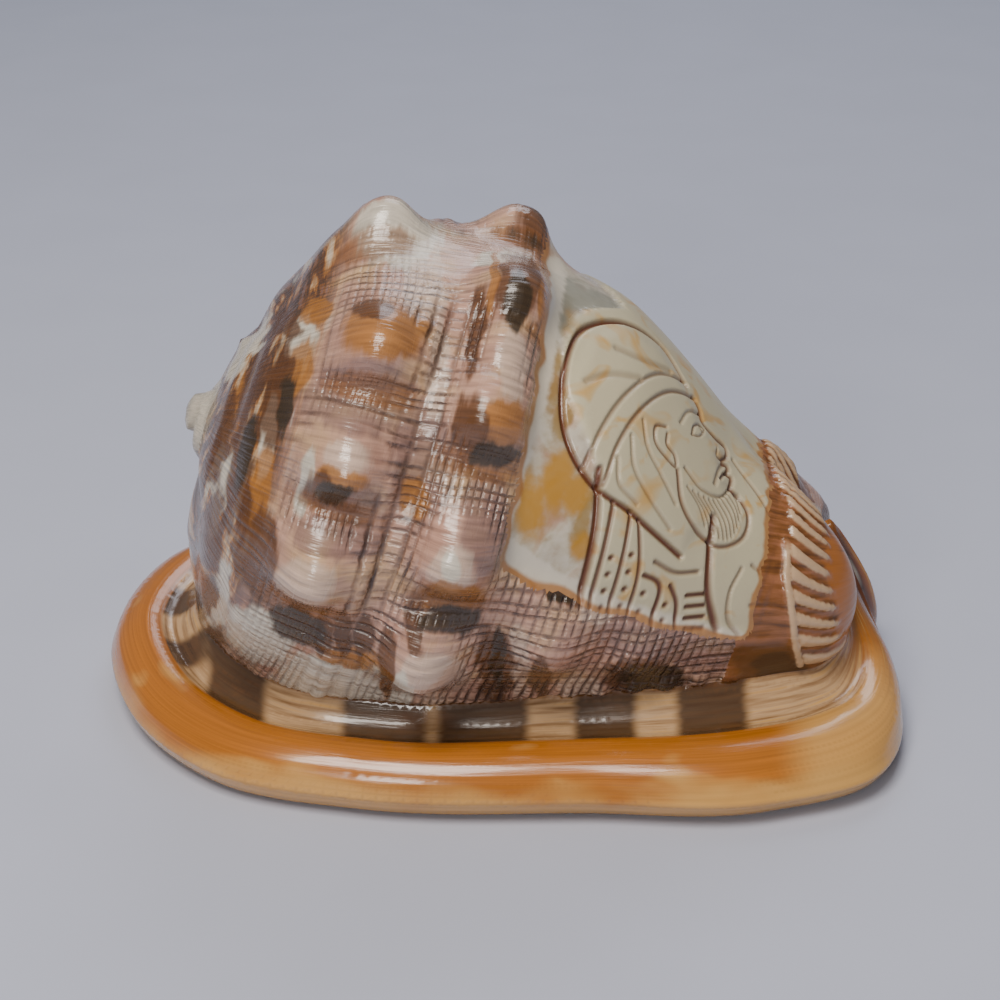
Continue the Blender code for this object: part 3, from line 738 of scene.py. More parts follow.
def off_carving(places):
    """The distance of places from the nearest cut line, or a large one where none is near."""
    best = np.full(len(places), FAR_OFF)
    for _, _, _, curve in carving_lines():
        low, high = curve.min(0) - LINES_REACH, curve.max(0) + LINES_REACH
        near = np.flatnonzero(((places > low) & (places < high)).all(1))
        off, _ = off_curve(places[near], curve)
        best[near] = np.minimum(best[near], off)
    return best


def carving_lines():
    """Every cut line: width, depth, stain and its curve."""
    lines = [(*cut, drawn_curve(head_to_drawing(points))) for *cut, points in HEAD_LINES.values()]
    lines += [(*HAIR_CUT, drawn_curve(head_to_drawing(points))) for points in beard_hairs()]
    lines += [(*cut, drawn_curve(points)) for *cut, points in DRESS_LINES]
    lines += [(*BAR_CUT, np.array(((x, y), (x + BAR_LENGTH, y + BAR_RISE)))) for x, y in BARS]
    for x, y, count, step in DOT_COLUMNS:
        for i in range(count):
            at = np.array((x, y - i * step))
            lines.append((*DOT_CUT, np.array((at, at + 0.01))))
    return lines


def inside_outline(places, outline):
    """True where a place lies inside a closed outline."""
    x, y = places.T
    inside = np.zeros(len(places), bool)
    for (x0, y0), (x1, y1) in zip(outline, np.roll(outline, -1, axis=0)):
        rises = (y0 > y) != (y1 > y)
        inside ^= rises & (x < (x1 - x0) * (y - y0) / (y1 - y0 + 1e-12) + x0)
    return inside


def carving(points, cut):
    """Height of the carving in mm, and the shares of stain and of cream layer."""
    height, stain, cream = (np.zeros(len(points)) for _ in range(3))
    where = np.flatnonzero(cut > 0)
    places = window_place(points[where])
    edge = drawn_curve(CREAM_EDGE)
    off, _ = off_curve(places, edge)
    inside = inside_outline(places, np.concatenate((edge, CREAM_CORNERS)))
    layer = smoothstep(-0.4, 0.4, np.where(inside, off, -off))
    raised = LAYER_HEIGHT * layer
    outline = head_outline()
    off, _ = off_curve(places, np.concatenate((outline, outline[:1])))
    raised += HEAD_RELIEF * smoothstep(0.0, HEAD_EDGE, np.where(inside_outline(places, outline), off, 0.0))
    marks = np.zeros(len(where))
    for width, depth, strength, curve in carving_lines():
        low, high = curve.min(0) - width, curve.max(0) + width
        near = np.flatnonzero(((places > low) & (places < high)).all(1))
        off, _ = off_curve(places[near], curve)
        groove = 1 - smoothstep(0.1, 1.0, off / (width * 0.75))
        raised[near] -= depth * groove
        marks[near] = np.maximum(marks[near], strength * groove)
    height[where] = raised * cut[where]
    stain[where] = marks * cut[where]
    cream[where] = layer
    return height, stain, cream


def ribs(along, turn):
    """1 on the ribs beside the canal, which slant and thin out away from the border line, and on it."""
    past = along - np.interp(turn, *np.array(BORDER_ALONG).T)
    slant = np.interp(turn, *np.array(RIB_SLANTS).T)
    count = (turn - slant * np.maximum(past, 0.0)) / RIB_PITCH
    across = np.abs(count % 1.0 - 0.5) * 2
    width = RIB_WIDTH - RIB_THINNING * np.clip(past / RIB_LENGTH, 0, 1)
    rib = 1 - smoothstep(width - RIB_SIDE[0], width + RIB_SIDE[1], across)
    rib = rib * smoothstep(-0.2, 0.8, past) * (1 - smoothstep(RIB_LENGTH - RIBS_END, RIB_LENGTH, past))
    border = (1 - smoothstep(0.3, 1.0, np.abs(past + 0.4))) * smoothstep(*BORDER_TURNS, turn)
    return np.maximum(rib, border) * smoothstep(FRINGE_TURN - 5, FRINGE_TURN + 5, turn)


def head_outline():
    """The outline of the whole head, cap, face and beard, which stands up from its ground."""
    names = ("cap_edge", "beard_edge", "face")
    cap, beard, face = (np.array(HEAD_LINES[name][3]) for name in names)
    around = np.concatenate((cap, ((0.0, -0.56),), beard[3::-1], face[::-1]))
    return head_to_drawing(around)


# Colour marks, placed in the drawing plane: across, up, half width, half height, tilt in degrees
BROWN_MARKS = (
    (-5.5, 13.0, 3.4, 7.0, 0), (-4.5, 32.0, 1.6, 9.0, -6), (-1.0, -31.0, 3.6, 8.0, 3),
    (7.5, -33.0, 2.0, 4.0, 0), (12.8, -17.0, 5.5, 3.4, -15), (-57.0, -27.0, 4.5, 5.5, 20),
    (-52.0, -33.0, 6.5, 4.0, -25), (-34.0, 2.0, 3.2, 3.4, 15), (-16.0, -24.0, 2.0, 6.0, 0),
    (26.0, -33.5, 7.0, 3.4, 0), (50.5, -30.5, 6.5, 3.6, -5), (-42.0, 20.0, 2.6, 10.0, -12),
    (-49.0, 6.0, 2.6, 12.0, -8), (-45.0, -10.0, 3.0, 9.0, -5), (3.5, 40.5, 4.2, 6.5, -5),
    (-33.2, -25.0, 1.7, 4.2, 0), (-29.4, -25.0, 1.5, 4.8, 0), (-25.6, -25.6, 2.0, 4.4, 0),
    (-21.4, -30.5, 1.8, 6.4, 0), (-40.0, 33.0, 2.4, 3.0, 30), (-24.0, 36.0, 4.0, 2.0, 0),
    (9.5, 20.0, 1.6, 8.0, -12), (-52.5, 12.0, 1.8, 9.0, -14), (-46.5, 22.0, 1.8, 8.0, -20),
    (-54.0, -6.0, 1.8, 8.0, -4), (-48.5, -8.0, 1.6, 8.0, -6),
)
# Olive and brown marks, partly the shell's own colour and partly painted shade under the lumps
DARK_AND_SHADE_MARKS = (
    (-38.5, -23.5, 6.0, 3.0, -28), (-9.6, -22.5, 6.5, 2.8, 0), (-1.0, 8.5, 5.5, 2.4, 0),
    (29.0, -33.5, 6.5, 2.4, 0), (3.4, 37.5, 2.4, 6.0, -6), (-48.0, 9.0, 1.6, 7.0, -10),
    (-40.5, 18.0, 1.4, 6.0, -10), (53.0, -31.5, 5.0, 2.4, -5), (11.5, -18.0, 3.4, 2.2, 0),
    (-56.0, -18.0, 2.2, 5.0, 0), (-31.5, 1.2, 3.8, 2.2, 0), (-0.5, -29.0, 1.6, 6.0, 0),
)
ORANGE_MARKS = (
    (64.5, -15.0, 3.0, 8.0, 14), (66.5, -26.0, 4.0, 6.0, 0), (-21.5, 31.5, 7.5, 5.0, 0),
    (4.7, 52.5, 5.0, 3.8, 0), (0.0, 14.5, 5.5, 4.2, 0), (-30.8, 3.6, 5.0, 2.6, -10),
    (-9.4, -18.5, 6.5, 2.8, 0), (-34.5, 35.5, 3.0, 2.4, 30), (-38.0, 24.5, 2.2, 5.5, -15),
    (8.6, 38.5, 1.3, 9.0, -4), (-1.2, 41.0, 1.0, 6.0, -6), (-28.0, -29.5, 6.0, 1.8, -8),
    (-21.5, -33.0, 1.5, 4.0, 0), (-45.5, 1.0, 1.8, 9.0, -8), (7.0, 6.0, 1.4, 8.0, -14),
    (-16.0, 0.0, 3.0, 4.0, 0), (-50.0, 16.0, 1.4, 7.0, -15),
)
PALE_MARKS = (
    (-37.0, -15.5, 5.5, 4.5, 0), (-9.2, -13.0, 4.4, 4.8, 0), (-12.5, -33.0, 6.5, 4.2, 0),
    (-29.0, 8.0, 4.5, 3.4, 0), (2.5, 25.5, 3.0, 7.0, 4), (3.8, -30.5, 1.8, 7.5, 0),
    (15.0, -35.0, 4.0, 2.2, 0), (-14.0, 40.0, 4.0, 7.0, 0), (-12.0, 24.0, 2.0, 9.0, -6),
    (18.5, -21.5, 3.0, 2.4, 0),
)
WHITE_MARKS = (
    (-19.0, 51.0, 8.0, 6.5, 0), (1.0, 46.0, 6.0, 1.4, 10), (-37.4, 30.5, 2.0, 4.0, -20),
    (-31.5, -34.0, 10.5, 4.4, -8), (-19.0, -36.0, 2.6, 3.0, 0), (-53.8, -19.0, 2.2, 7.0, -12),
    (-47.5, 29.0, 1.6, 7.0, -30), (-52.5, 4.0, 1.4, 9.0, -8), (-44.0, 12.0, 1.2, 8.0, -10),
    (-46.0, -25.5, 6.5, 4.4, -30), (-9.5, -12.5, 2.0, 3.0, 0), (-37.0, 3.0, 1.2, 6.0, -12),
)
MAUVE_MARKS = (
    (34.0, -26.0, 14.0, 5.0, -6), (-26.0, 19.5, 10.0, 6.5, 0), (-15.0, 8.0, 5.0, 12.0, 0),
    (-31.0, -6.5, 8.0, 4.5, -5), (-45.0, -17.0, 4.0, 3.0, 0), (-2.5, -4.0, 4.0, 10.0, 0),
    (-29.0, 0.0, 6.0, 2.0, 0),
)
AMBER_MARKS = (
    (5.8, -1.0, 2.8, 6.0, 4), (10.8, 3.5, 3.0, 6.0, -14), (14.5, 1.5, 2.6, 4.0, -10),
    (15.5, -9.0, 2.2, 2.4, 0),
)
HONEY_MARKS = (
    (9.2, 25.0, 2.6, 8.5, 4), (12.4, 35.0, 2.0, 4.0, 10), (12.0, 16.0, 1.6, 5.0, -10),
    (15.8, -4.0, 1.4, 5.0, -20),
)
# A deep red-brown stroke where the canal opens: painted shade of the narrow gap between its walls
SLIT_SHADE_MARKS = ((66.6, -13.5, 1.3, 10.0, 24),)
GREY_MARKS = ((17.0, 41.0, 9.0, 6.0, -25), (10.5, 37.0, 2.6, 6.0, 0), (22.5, 38.5, 6.0, 4.0, -35))
MARKS = {
    "brown": BROWN_MARKS, "dark": DARK_AND_SHADE_MARKS, "orange": ORANGE_MARKS, "pale": PALE_MARKS,
    "white": WHITE_MARKS, "mauve": MAUVE_MARKS, "amber": AMBER_MARKS, "honey": HONEY_MARKS,
    "grey": GREY_MARKS,
}
# Brown bars across the lip: middle and half length along X, on the outer lip and on the inner lip
OUTER_BARS = ((-49.5, 6.0), (-21.5, 7.5), (-4.0, 8.0), (17.7, 5.4), (37.0, 6.3))
INNER_BARS = ((-45.0, 6.5), (-22.0, 6.0), (2.0, 7.5), (25.0, 6.0), (44.0, 5.0))
SPIRE_BARS = ((-13.0, 4.5), (6.0, 5.5), (22.0, 4.0))


def painted(places, marks, soft=0.6):
    """How far places lie inside any of the marks: 0 outside, a half on the edge and 1 inside."""
    best = np.zeros(len(places))
    for x, y, width, height, tilt in marks:
        c, s = math.cos(math.radians(tilt)), math.sin(math.radians(tilt))
        dx, dy = places[:, 0] - x, places[:, 1] - y
        d = np.hypot((dx * c + dy * s) / width, (dy * c - dx * s) / height)
        best = np.maximum(best, 1 - smoothstep(1 - soft, 1 + soft, d))
    return best


def bars(x, table):
    """1 on the brown bars along one line, 0 between them, soft at their edges."""
    best = np.zeros_like(x)
    for middle, half in table:
        best = np.maximum(best, 1 - smoothstep(half - 2.5, half + 2.5, np.abs(x - middle)))
    return best


# In mm, the setting at which the carving is as deep as its tables say, and how far the window is ground down
USUAL_CARVING, GROUND_DOWN = 0.6, 0.45
# Millimetres once round the mouth and over one stretch of the lip, for the textures
MOUTH_ROUND, LIP_ACROSS = 400, 20
# The way at which the ribs end, just short of the foot of the back
RIBS_WAY = 0.985
# Layer lines of the lip: their pitch as a share of a stretch and height in mm, and the height of slow waves
LIP_LINE_PITCH, LIP_LINE_HEIGHT, LIP_WAVE_HEIGHT = 0.045, 0.04, 0.1
# Behind this the window's edge line isn't drawn
EDGE_LINE_END = 8.0


def relief(settings, turns, ways, points):
    """How far each point moves out along its normal, in mm, and the values that the materials read."""
    along, radius, turn = whorl_place(points)
    row = leaning_row(along, turn)
    over = meridian(row)
    arc = np.radians(turn) * GROWTH_RADIUS
    back = ways <= FOOT
    knob = np.clip(lumps(along, turn, radius) / 6.0, 0, 1)
    # The lower side of each lump, which is darkened: partly its brown colour, partly painted shade
    below = np.clip((lumps(along, turn - 6, radius) - 1.5 * lumps(along, turn, radius)) / 4.0, 0, 1)
    fray = slow_waves(over, arc, 9.0, 61)
    cut = window(along + 0.6 * fray, turn + 1.2 * fray) * back

    pitch = settings.cord_pitch / MM / USUAL_CORD
    widths = tuple((place, width * pitch) for place, width in CORD_WIDTHS)
    bend = CORD_BEND * slow_waves(over, arc, 34.0, 3)
    cord_grooves = uneven_grooves(CORDS_FROM, CORDS_TO, widths, CORD_SPREAD, 5)
    cord_count = groove_count(over + bend, cord_grooves)
    slant = GROWTH_SLANT * slow_waves(over, arc, 55.0, 8) + GROWTH_WAVER * slow_waves(over, arc, 15.0, 9)
    growth_widths = ((-GROWTH_REACH, settings.growth_pitch / MM),)
    growth_grooves = uneven_grooves(-GROWTH_REACH, GROWTH_REACH, growth_widths, GROWTH_SPREAD, 6)
    growth_count = groove_count(arc + slant, growth_grooves)
    bead_widths = ((-GROWTH_REACH, BEAD_PITCH),)
    bead_grooves = uneven_grooves(-GROWTH_REACH, GROWTH_REACH, bead_widths, BEAD_SPREAD, 7)
    bead_row = np.exp(-(((row - BEAD_ROW) / BEAD_ROW_WIDTH) ** 2))
    bead = ridge(groove_count(arc + slant, bead_grooves)) * bead_row
    smooth = np.maximum(smoothstep(0.25, 0.7, knob), 0.85 * below)
    open_back = back * (1 - cut) * (1 - smooth) * smoothstep(0.05, 0.16, ways)
    corded = smoothstep(FLANK_ENDS - 4, FLANK_ENDS + 4, row) * (1 - smoothstep(108, 114, row))
    flank = 1 - smoothstep(FLANK_ENDS - 5, FLANK_ENDS + 2, row)
    folds = np.clip(0.5 + 0.9 * slow_waves(over, arc, 26.0, 12), 0, 1)
    cord_depth = corded * (0.35 + 0.65 * (1 - folds))
    growth_depth = (0.25 + 0.75 * corded) * (0.5 + 0.5 * folds) * smoothstep(10.0, 32.0, radius)
    height = settings.cord_height / MM * (ridge(cord_count) - 0.6) * cord_depth
    height = height + 0.4 * settings.growth_height / MM * (ridge(growth_count) - 0.6) * growth_depth
    height = height + BEAD_HEIGHT * (bead - 0.15) * corded
    apex = smoothstep(9.0, 16.0, radius)
    height = height + 0.5 * flank * apex * slow_waves(over * 2.4, arc * 0.35, 16.0, 14)
    height = height * open_back

    carved, stain, cream = carving(points, cut)
    carved = carved * settings.carving_depth / (USUAL_CARVING * MM)
    rib = ribs(along, turn) * (ways < RIBS_WAY)
    height = height + (carved - GROUND_DOWN * cut) * back + RIB_HEIGHT * rib

    # The last edge of the back overhangs the lip a little, and bulges where a rib ends on it
    hem = smoothstep(0.955, 0.985, ways) * back
    scallops = 0.5 * slow_waves(points[:, 0] * 2.2, arc * 0, 17.0, 21)
    height = height + hem * (0.55 + scallops) * (1 - smoothstep(100, 112, along))
    lip = (ways > FOOT) & (ways <= RIM + RELIEF_PAST_RIM)
    line_way = ways + 0.012 * slow_waves(turns * MOUTH_ROUND, ways * 30, 60.0, 31)
    lines = ridge(groove_count(line_way, uneven_grooves(0.98, 2.2, ((0.0, LIP_LINE_PITCH),), 0.5, 32)))
    height = height + np.where(lip, LIP_LINE_HEIGHT * (lines - 0.6) * smoothstep(1.0, 1.08, ways), 0.0)
    lip_waves = slow_waves(turns * MOUTH_ROUND, ways * 12, 45.0, 33)
    height = height + np.where(lip, LIP_WAVE_HEIGHT * lip_waves, 0.0)
    # Painted shade: darker in the lip's layer lines and in the crease where the back's hem overhangs the lip
    groove = np.where(lip, 0.6 * (1 - lines), 0.0)
    groove = np.maximum(groove, (ways > 0.99) * (1 - smoothstep(1.0, 1.05, ways)) * 1.3)

    near = smoothstep(8.0, -4.0, points[:, 1]) * smoothstep(-40.0, -15.0, turn)
    places = drawing_place(points)
    ragged = np.stack((slow_waves(over, arc, 7.0, 41), slow_waves(over, arc, 9.0, 42)), 1) * 0.6
    wild = 0.5 + 0.5 * slow_waves(over * 1.6, arc * 0.8, 24.0, 51)
    wild_pale = 0.5 + 0.5 * slow_waves(over * 1.4, arc, 27.0, 53)
    masks = {name: painted(places + ragged, marks) * near for name, marks in MARKS.items()}
    masks["brown"] = masks["brown"] + (1 - near) * np.clip(wild * 1.5 - 0.55, 0, 1)
    masks["white"] = masks["white"] + (1 - near) * np.clip(wild_pale * 1.4 - 0.6, 0, 1)
    # On the far side these marks are the crescents under the lumps, partly painted shade
    masks["dark"] = np.maximum(masks["dark"], 0.8 * below * (1 - near))
    former_lip = 1 - smoothstep(5.0, 22.0, 180 - np.abs(turn) + 3.0 * wild)
    masks["white"] = np.maximum(masks["white"], np.maximum(former_lip, 1 - smoothstep(5.0, 9.0, radius)))
    spire_end = smoothstep(-52.0, -60.0, points[:, 0])
    side_bars = np.where(points[:, 1] < 0, bars(points[:, 0], OUTER_BARS), bars(points[:, 0], INNER_BARS))
    masks["bar"] = side_bars * (1 - spire_end) + bars(points[:, 1], SPIRE_BARS) * spire_end
    masks.update(below=below, groove=np.clip(groove, 0, 1), stain=stain, cream=cream, rib=rib, way=ways)
    # Where the back is white its grooves are fainter, with less painted shade and less bump
    grooves_fade_on_white = 1 - 0.7 * np.clip(masks["white"], 0, 1)
    masks["cord_depth"] = cord_depth * open_back * grooves_fade_on_white
    masks["growth_depth"] = growth_depth * open_back * grooves_fade_on_white
    masks["flank"] = flank * back
    masks["cut"] = cut
    masks["facet"] = smoothstep(46.0, 56.0, points[:, 0]) * smoothstep(2.0, -4.0, points[:, 1])
    masks["canal"] = Skin(turns).canal[:, 0]
    # Painted shade of the canal's narrow gap
    masks["slit"] = painted(places, SLIT_SHADE_MARKS, 0.5)
    masks["tooth"] = (0.5 - 0.5 * np.cos(math.tau * TEETH * turns)) * smoothstep(2.68, 2.9, ways)
    edge, _ = off_curve(places, drawn_curve(WINDOW_LINE))
    masks["edge"] = np.where(points[:, 1] < EDGE_LINE_END, edge, FAR_OFF)
    unused = np.zeros(len(points))
    vectors = {
        "whorl": np.stack((over, arc, radius), 1),
        "mouth": np.stack((turns * MOUTH_ROUND, ways * LIP_ACROSS, unused), 1),
        "lattice": np.stack((cord_count, growth_count, unused), 1),
    }
    return height, masks, vectors


# Nodes and materials


def add(tree, kind, links=None, out=0, **settings):
    """Adds a node with its settings and links, and returns one of its outputs.

    The first two stops of a ramp are its outer ones, because a new ramp has two, and the rest lie between.
    """
    node = tree.nodes.new("ShaderNode" + kind)
    stops = settings.pop("stops", None)
    for name, value in settings.items():
        setattr(node, name, value)
    for i, (place, colour) in enumerate(stops or ()):
        stop = node.color_ramp.elements[i] if i < 2 else node.color_ramp.elements.new(place)
        stop.position = place
        stop.color = (*colour, 1)
    for key, value in (links or {}).items():
        if isinstance(value, bpy.types.NodeSocket):
            tree.links.new(value, node.inputs[key])
        else:
            node.inputs[key].default_value = value
    return node.outputs[out] if len(node.outputs) else node


def new_material(name, **sockets):
    """A material with these values on its Principled shader, its node tree and that shader."""
    material = bpy.data.materials.new(name)
    material.use_nodes = True
    tree = material.node_tree
    shader = tree.nodes["Principled BSDF"]
    for socket, value in sockets.items():
        shader.inputs[socket.replace("_", " ")].default_value = value
    return material, tree, shader


# How far the roughness lifts a mask on average
ROUGHENING = 0.44


def layered(tree, colour, layers, ragged, soft=0.24):
    """Lays colours over one another, each where its mask, roughened at the edge, passes its threshold."""
    for mask, over, strength, threshold in layers:
        value = add(tree, "Attribute", out="Fac", attribute_name=mask)
        edge = add(tree, "Math", {0: ragged, 1: 0.9, 2: value}, operation="MULTIPLY_ADD")
        middle = threshold + ROUGHENING
        share = add(tree, "MapRange", {0: edge, 1: middle - soft, 2: middle + soft, 3: 0.0, 4: strength},
                    interpolation_type="SMOOTHSTEP")
        colour = add(tree, "Mix", {0: share, 6: colour, 7: over}, out=2, data_type="RGBA")
    return colour


def rgba(colour):
    """The colour with full cover, as colour sockets take it."""
    return (*colour[:3], 1.0)


def worn_whorl(colours):
    """Outer layer of calcite, sea-worn and oiled: a soft gloss, broken by the cords and growth lines."""
    material, tree, shader = new_material("oiled_outer_layer", Roughness=0.32, IOR=1.53, Coat_Weight=0.4,
                                          Coat_Roughness=0.08)
    whorl = add(tree, "Attribute", out="Vector", attribute_name="whorl")
    noises = []
    for wide, long, detail, roughness in (
        (2.8, 20.0, 5.0, 0.6),  # flames of colour, which run with the cords
        (11.0, 9.0, 3.0, 0.5),  # clouds of paler and pinker ground
        (1.3, 7.0, 2.5, 0.5),  # streaks that fray the edges of the marks
        (9.0, 0.9, 2.0, 0.5),  # growth lines
    ):
        place = add(tree, "VectorMath", {0: whorl, 1: (1 / wide, 1 / long, 0.0)}, operation="MULTIPLY")
        noises.append(add(tree, "TexNoise", {
            "Vector": place, "Scale": 1.0, "Detail": detail, "Roughness": roughness}, out="Fac"))
    flame, cloud, ragged, growth = noises
    base = add(tree, "ValToRGB", {0: cloud}, stops=(
        (0.3, colours["pink"]), (0.7, colours["cream"]), (0.5, colours["blush"])))
    sides = add(tree, "ValToRGB", {0: flame}, stops=(
        (0.32, colours["white"]), (0.72, colours["white"]), (0.40, colours["cream"]),
        (0.45, colours["orange"]), (0.49, colours["brown"]), (0.55, colours["umber"]),
        (0.59, colours["chestnut"]), (0.65, colours["mauve"])))
    flank = add(tree, "Attribute", out="Fac", attribute_name="flank")
    flank_share = add(tree, "MapRange", {0: flank, 1: 0.1, 2: 0.9, 3: 0.0, 4: 0.95})
    colour = add(tree, "Mix", {0: flank_share, 6: base, 7: sides}, out=2, data_type="RGBA")
    # The chestnut crescents under the lumps and the olive marks are partly brown colour and partly painted
    # shade
    colour = layered(tree, colour, (
        ("mauve", rgba(colours["mauve"]), 0.6, 0.4), ("pale", rgba(colours["pale"]), 0.7, 0.5),
        ("white", rgba(colours["white"]), 0.95, 0.4),
        ("orange", rgba(colours["orange"]), 0.85, 0.45), ("brown", rgba(colours["brown"]), 0.9, 0.5),
        ("below", rgba(colours["chestnut"]), 0.7, 0.35), ("dark", rgba(colours["olive"]), 0.92, 0.5)), ragged)
    # Thin bands of stronger and weaker colour, one growth line wide
    band = add(tree, "MapRange", {0: growth, 1: 0.35, 2: 0.65, 3: 0.78, 4: 1.15})
    colour = add(tree, "VectorMath", {0: colour, "Scale": band}, operation="SCALE")
    # The lattice: a groove wherever the count of cords or of growth lines passes a whole number
    lattice = add(tree, "Attribute", out="Vector", attribute_name="lattice")
    grooves = 0.0
    for part, mask, width in ((0, "cord_depth", 0.3), (1, "growth_depth", 0.26)):
        count = add(tree, "SeparateXYZ", {0: lattice}, out=part)
        off = add(tree, "Math", {0: count, 1: 0.5}, operation="PINGPONG")
        line = add(tree, "MapRange", {0: off, 1: 0.02, 2: width, 3: 1.0, 4: 0.0},
                   interpolation_type="SMOOTHSTEP")
        depth = add(tree, "Attribute", out="Fac", attribute_name=mask)
        line = add(tree, "Math", {0: line, 1: depth}, operation="MULTIPLY")
        grooves = add(tree, "Math", {0: line, 1: grooves}, operation="MAXIMUM")
    # Painted shade in the lattice's grooves, unevenly strong, in the groove colour
    uneven = add(tree, "MapRange", {0: ragged, 1: 0.3, 2: 0.6, 3: 0.35, 4: 1.0})
    painted_groove_shade = add(tree, "Math", {0: grooves, 1: uneven}, operation="MULTIPLY")
    colour = add(tree, "Mix", {0: painted_groove_shade, 6: colour, 7: rgba(colours["groove"])}, out=2, data_type="RGBA")
    tree.links.new(colour, shader.inputs["Base Color"])
    shine = add(tree, "MapRange", {0: ragged, 1: 0.3, 2: 0.7, 3: 0.16, 4: 0.34})
    tree.links.new(shine, shader.inputs["Roughness"])
    ridges = add(tree, "Math", {0: grooves, 1: -0.9, 2: growth}, operation="MULTIPLY_ADD")
    bump = add(tree, "Bump", {"Height": ridges, "Strength": 0.8, "Distance": 0.0005})
    tree.links.new(bump, shader.inputs["Normal"])
    return material


def carved_window(colours):
    """Inner layers laid bare by grinding: matt cream where cut, polished and marbled beside the figure."""
    material, tree, shader = new_material("ground_inner_layers", Roughness=0.38, IOR=1.53, Coat_Weight=0.15,
                                          Coat_Roughness=0.2)
    whorl = add(tree, "Attribute", out="Vector", attribute_name="whorl")
    names = ("cream", "edge", "cut", "stain")
    cream, edge, cut, stain = (add(tree, "Attribute", out="Fac", attribute_name=name) for name in names)
    marble_place = add(tree, "VectorMath", {0: whorl, 1: (1 / 7.0, 1 / 10.0, 0.0)}, operation="MULTIPLY")
    marble = add(tree, "TexNoise", {"Vector": marble_place, "Scale": 1.0, "Detail": 2.0, "Distortion": 1.2},
                 out="Fac")
    fine_place = add(tree, "VectorMath", {0: whorl, 1: (1 / 2.2, 1 / 2.2, 0.0)}, operation="MULTIPLY")
    fine = add(tree, "TexNoise", {"Vector": fine_place, "Scale": 1.0, "Detail": 4.0}, out="Fac")
    ground = add(tree, "ValToRGB", {0: marble}, stops=(
        (0.35, colours["marble"]), (0.7, colours["blush"]), (0.5, colours["white"])))
    ground = layered(tree, ground, (
        ("honey", rgba(colours["honey"]), 0.8, 0.45), ("amber", rgba(colours["honey"]), 0.5, 0.1),
        ("amber", rgba(colours["amber"]), 0.85, 0.5), ("grey", rgba(colours["glass"]), 0.8, 0.45)),
        fine, 0.42)
    layer = add(tree, "ValToRGB", {0: marble}, stops=(
        (0.32, colours["figure"]), (0.72, colours["figure_warm"]), (0.56, colours["figure"])))
    colour = add(tree, "Mix", {0: cream, 6: ground, 7: layer}, out=2, data_type="RGBA")
    # The layers end in steps at the window's edge: an orange line, then a white band 2 mm wide
    frayed = add(tree, "Math", {0: fine, 1: 1.6, 2: edge}, operation="MULTIPLY_ADD")
    near_edge = add(tree, "MapRange", {0: frayed, 1: 2.4, 2: 3.6, 3: 0.85, 4: 0.0},
                    interpolation_type="SMOOTHSTEP")
    rim = add(tree, "MapRange", {0: cut, 1: 0.6, 2: 0.85, 3: 0.85, 4: 0.0}, interpolation_type="SMOOTHSTEP")
    for share, over in ((near_edge, "white"), (rim, "orange"), (stain, "stain")):
        colour = add(tree, "Mix", {0: share, 6: colour, 7: rgba(colours[over])}, out=2, data_type="RGBA")
    tree.links.new(colour, shader.inputs["Base Color"])
    shine = add(tree, "Math", {0: cream, 1: 0.14, 2: 0.26}, operation="MULTIPLY_ADD")
    tree.links.new(shine, shader.inputs["Roughness"])
    bump = add(tree, "Bump", {"Height": fine, "Strength": 0.25, "Distance": 0.0003})
    tree.links.new(bump, shader.inputs["Normal"])
    return material


def fringe_layer(colours):
    """Brown layer between the window and the canal, with ribs left standing in the white one."""
    material, tree, shader = new_material("brown_layer_with_ribs", Roughness=0.3, IOR=1.53, Coat_Weight=0.3,
                                          Coat_Roughness=0.12)
    whorl = add(tree, "Attribute", out="Vector", attribute_name="whorl")
    streak_place = add(tree, "VectorMath", {0: whorl, 1: (1 / 9.0, 1 / 1.8, 0.0)}, operation="MULTIPLY")
    streak = add(tree, "TexNoise", {"Vector": streak_place, "Scale": 1.0, "Detail": 4.0}, out="Fac")
    colour = add(tree, "ValToRGB", {0: streak}, stops=(
        (0.32, colours["brown"]), (0.68, colours["fringe"]), (0.46, colours["chestnut"])))
    # The umber marks here are partly deep brown and partly painted shade
    colour = layered(tree, colour, (
        ("brown", rgba(colours["brown"]), 0.8, 0.4), ("dark", rgba(colours["umber"]), 0.8, 0.45),
        ("orange", rgba(colours["rim"]), 0.8, 0.4)), streak)
    rib = add(tree, "Attribute", out="Fac", attribute_name="rib")
    rib = add(tree, "MapRange", {0: rib, 1: 0.25, 2: 0.8, 3: 0.0, 4: 0.85}, interpolation_type="SMOOTHSTEP")
    colour = add(tree, "Mix", {0: rib, 6: colour, 7: rgba(colours["rib"])}, out=2, data_type="RGBA")
    tree.links.new(colour, shader.inputs["Base Color"])
    bump = add(tree, "Bump", {"Height": streak, "Strength": 0.3, "Distance": 0.0004})
    tree.links.new(bump, shader.inputs["Normal"])
    return material


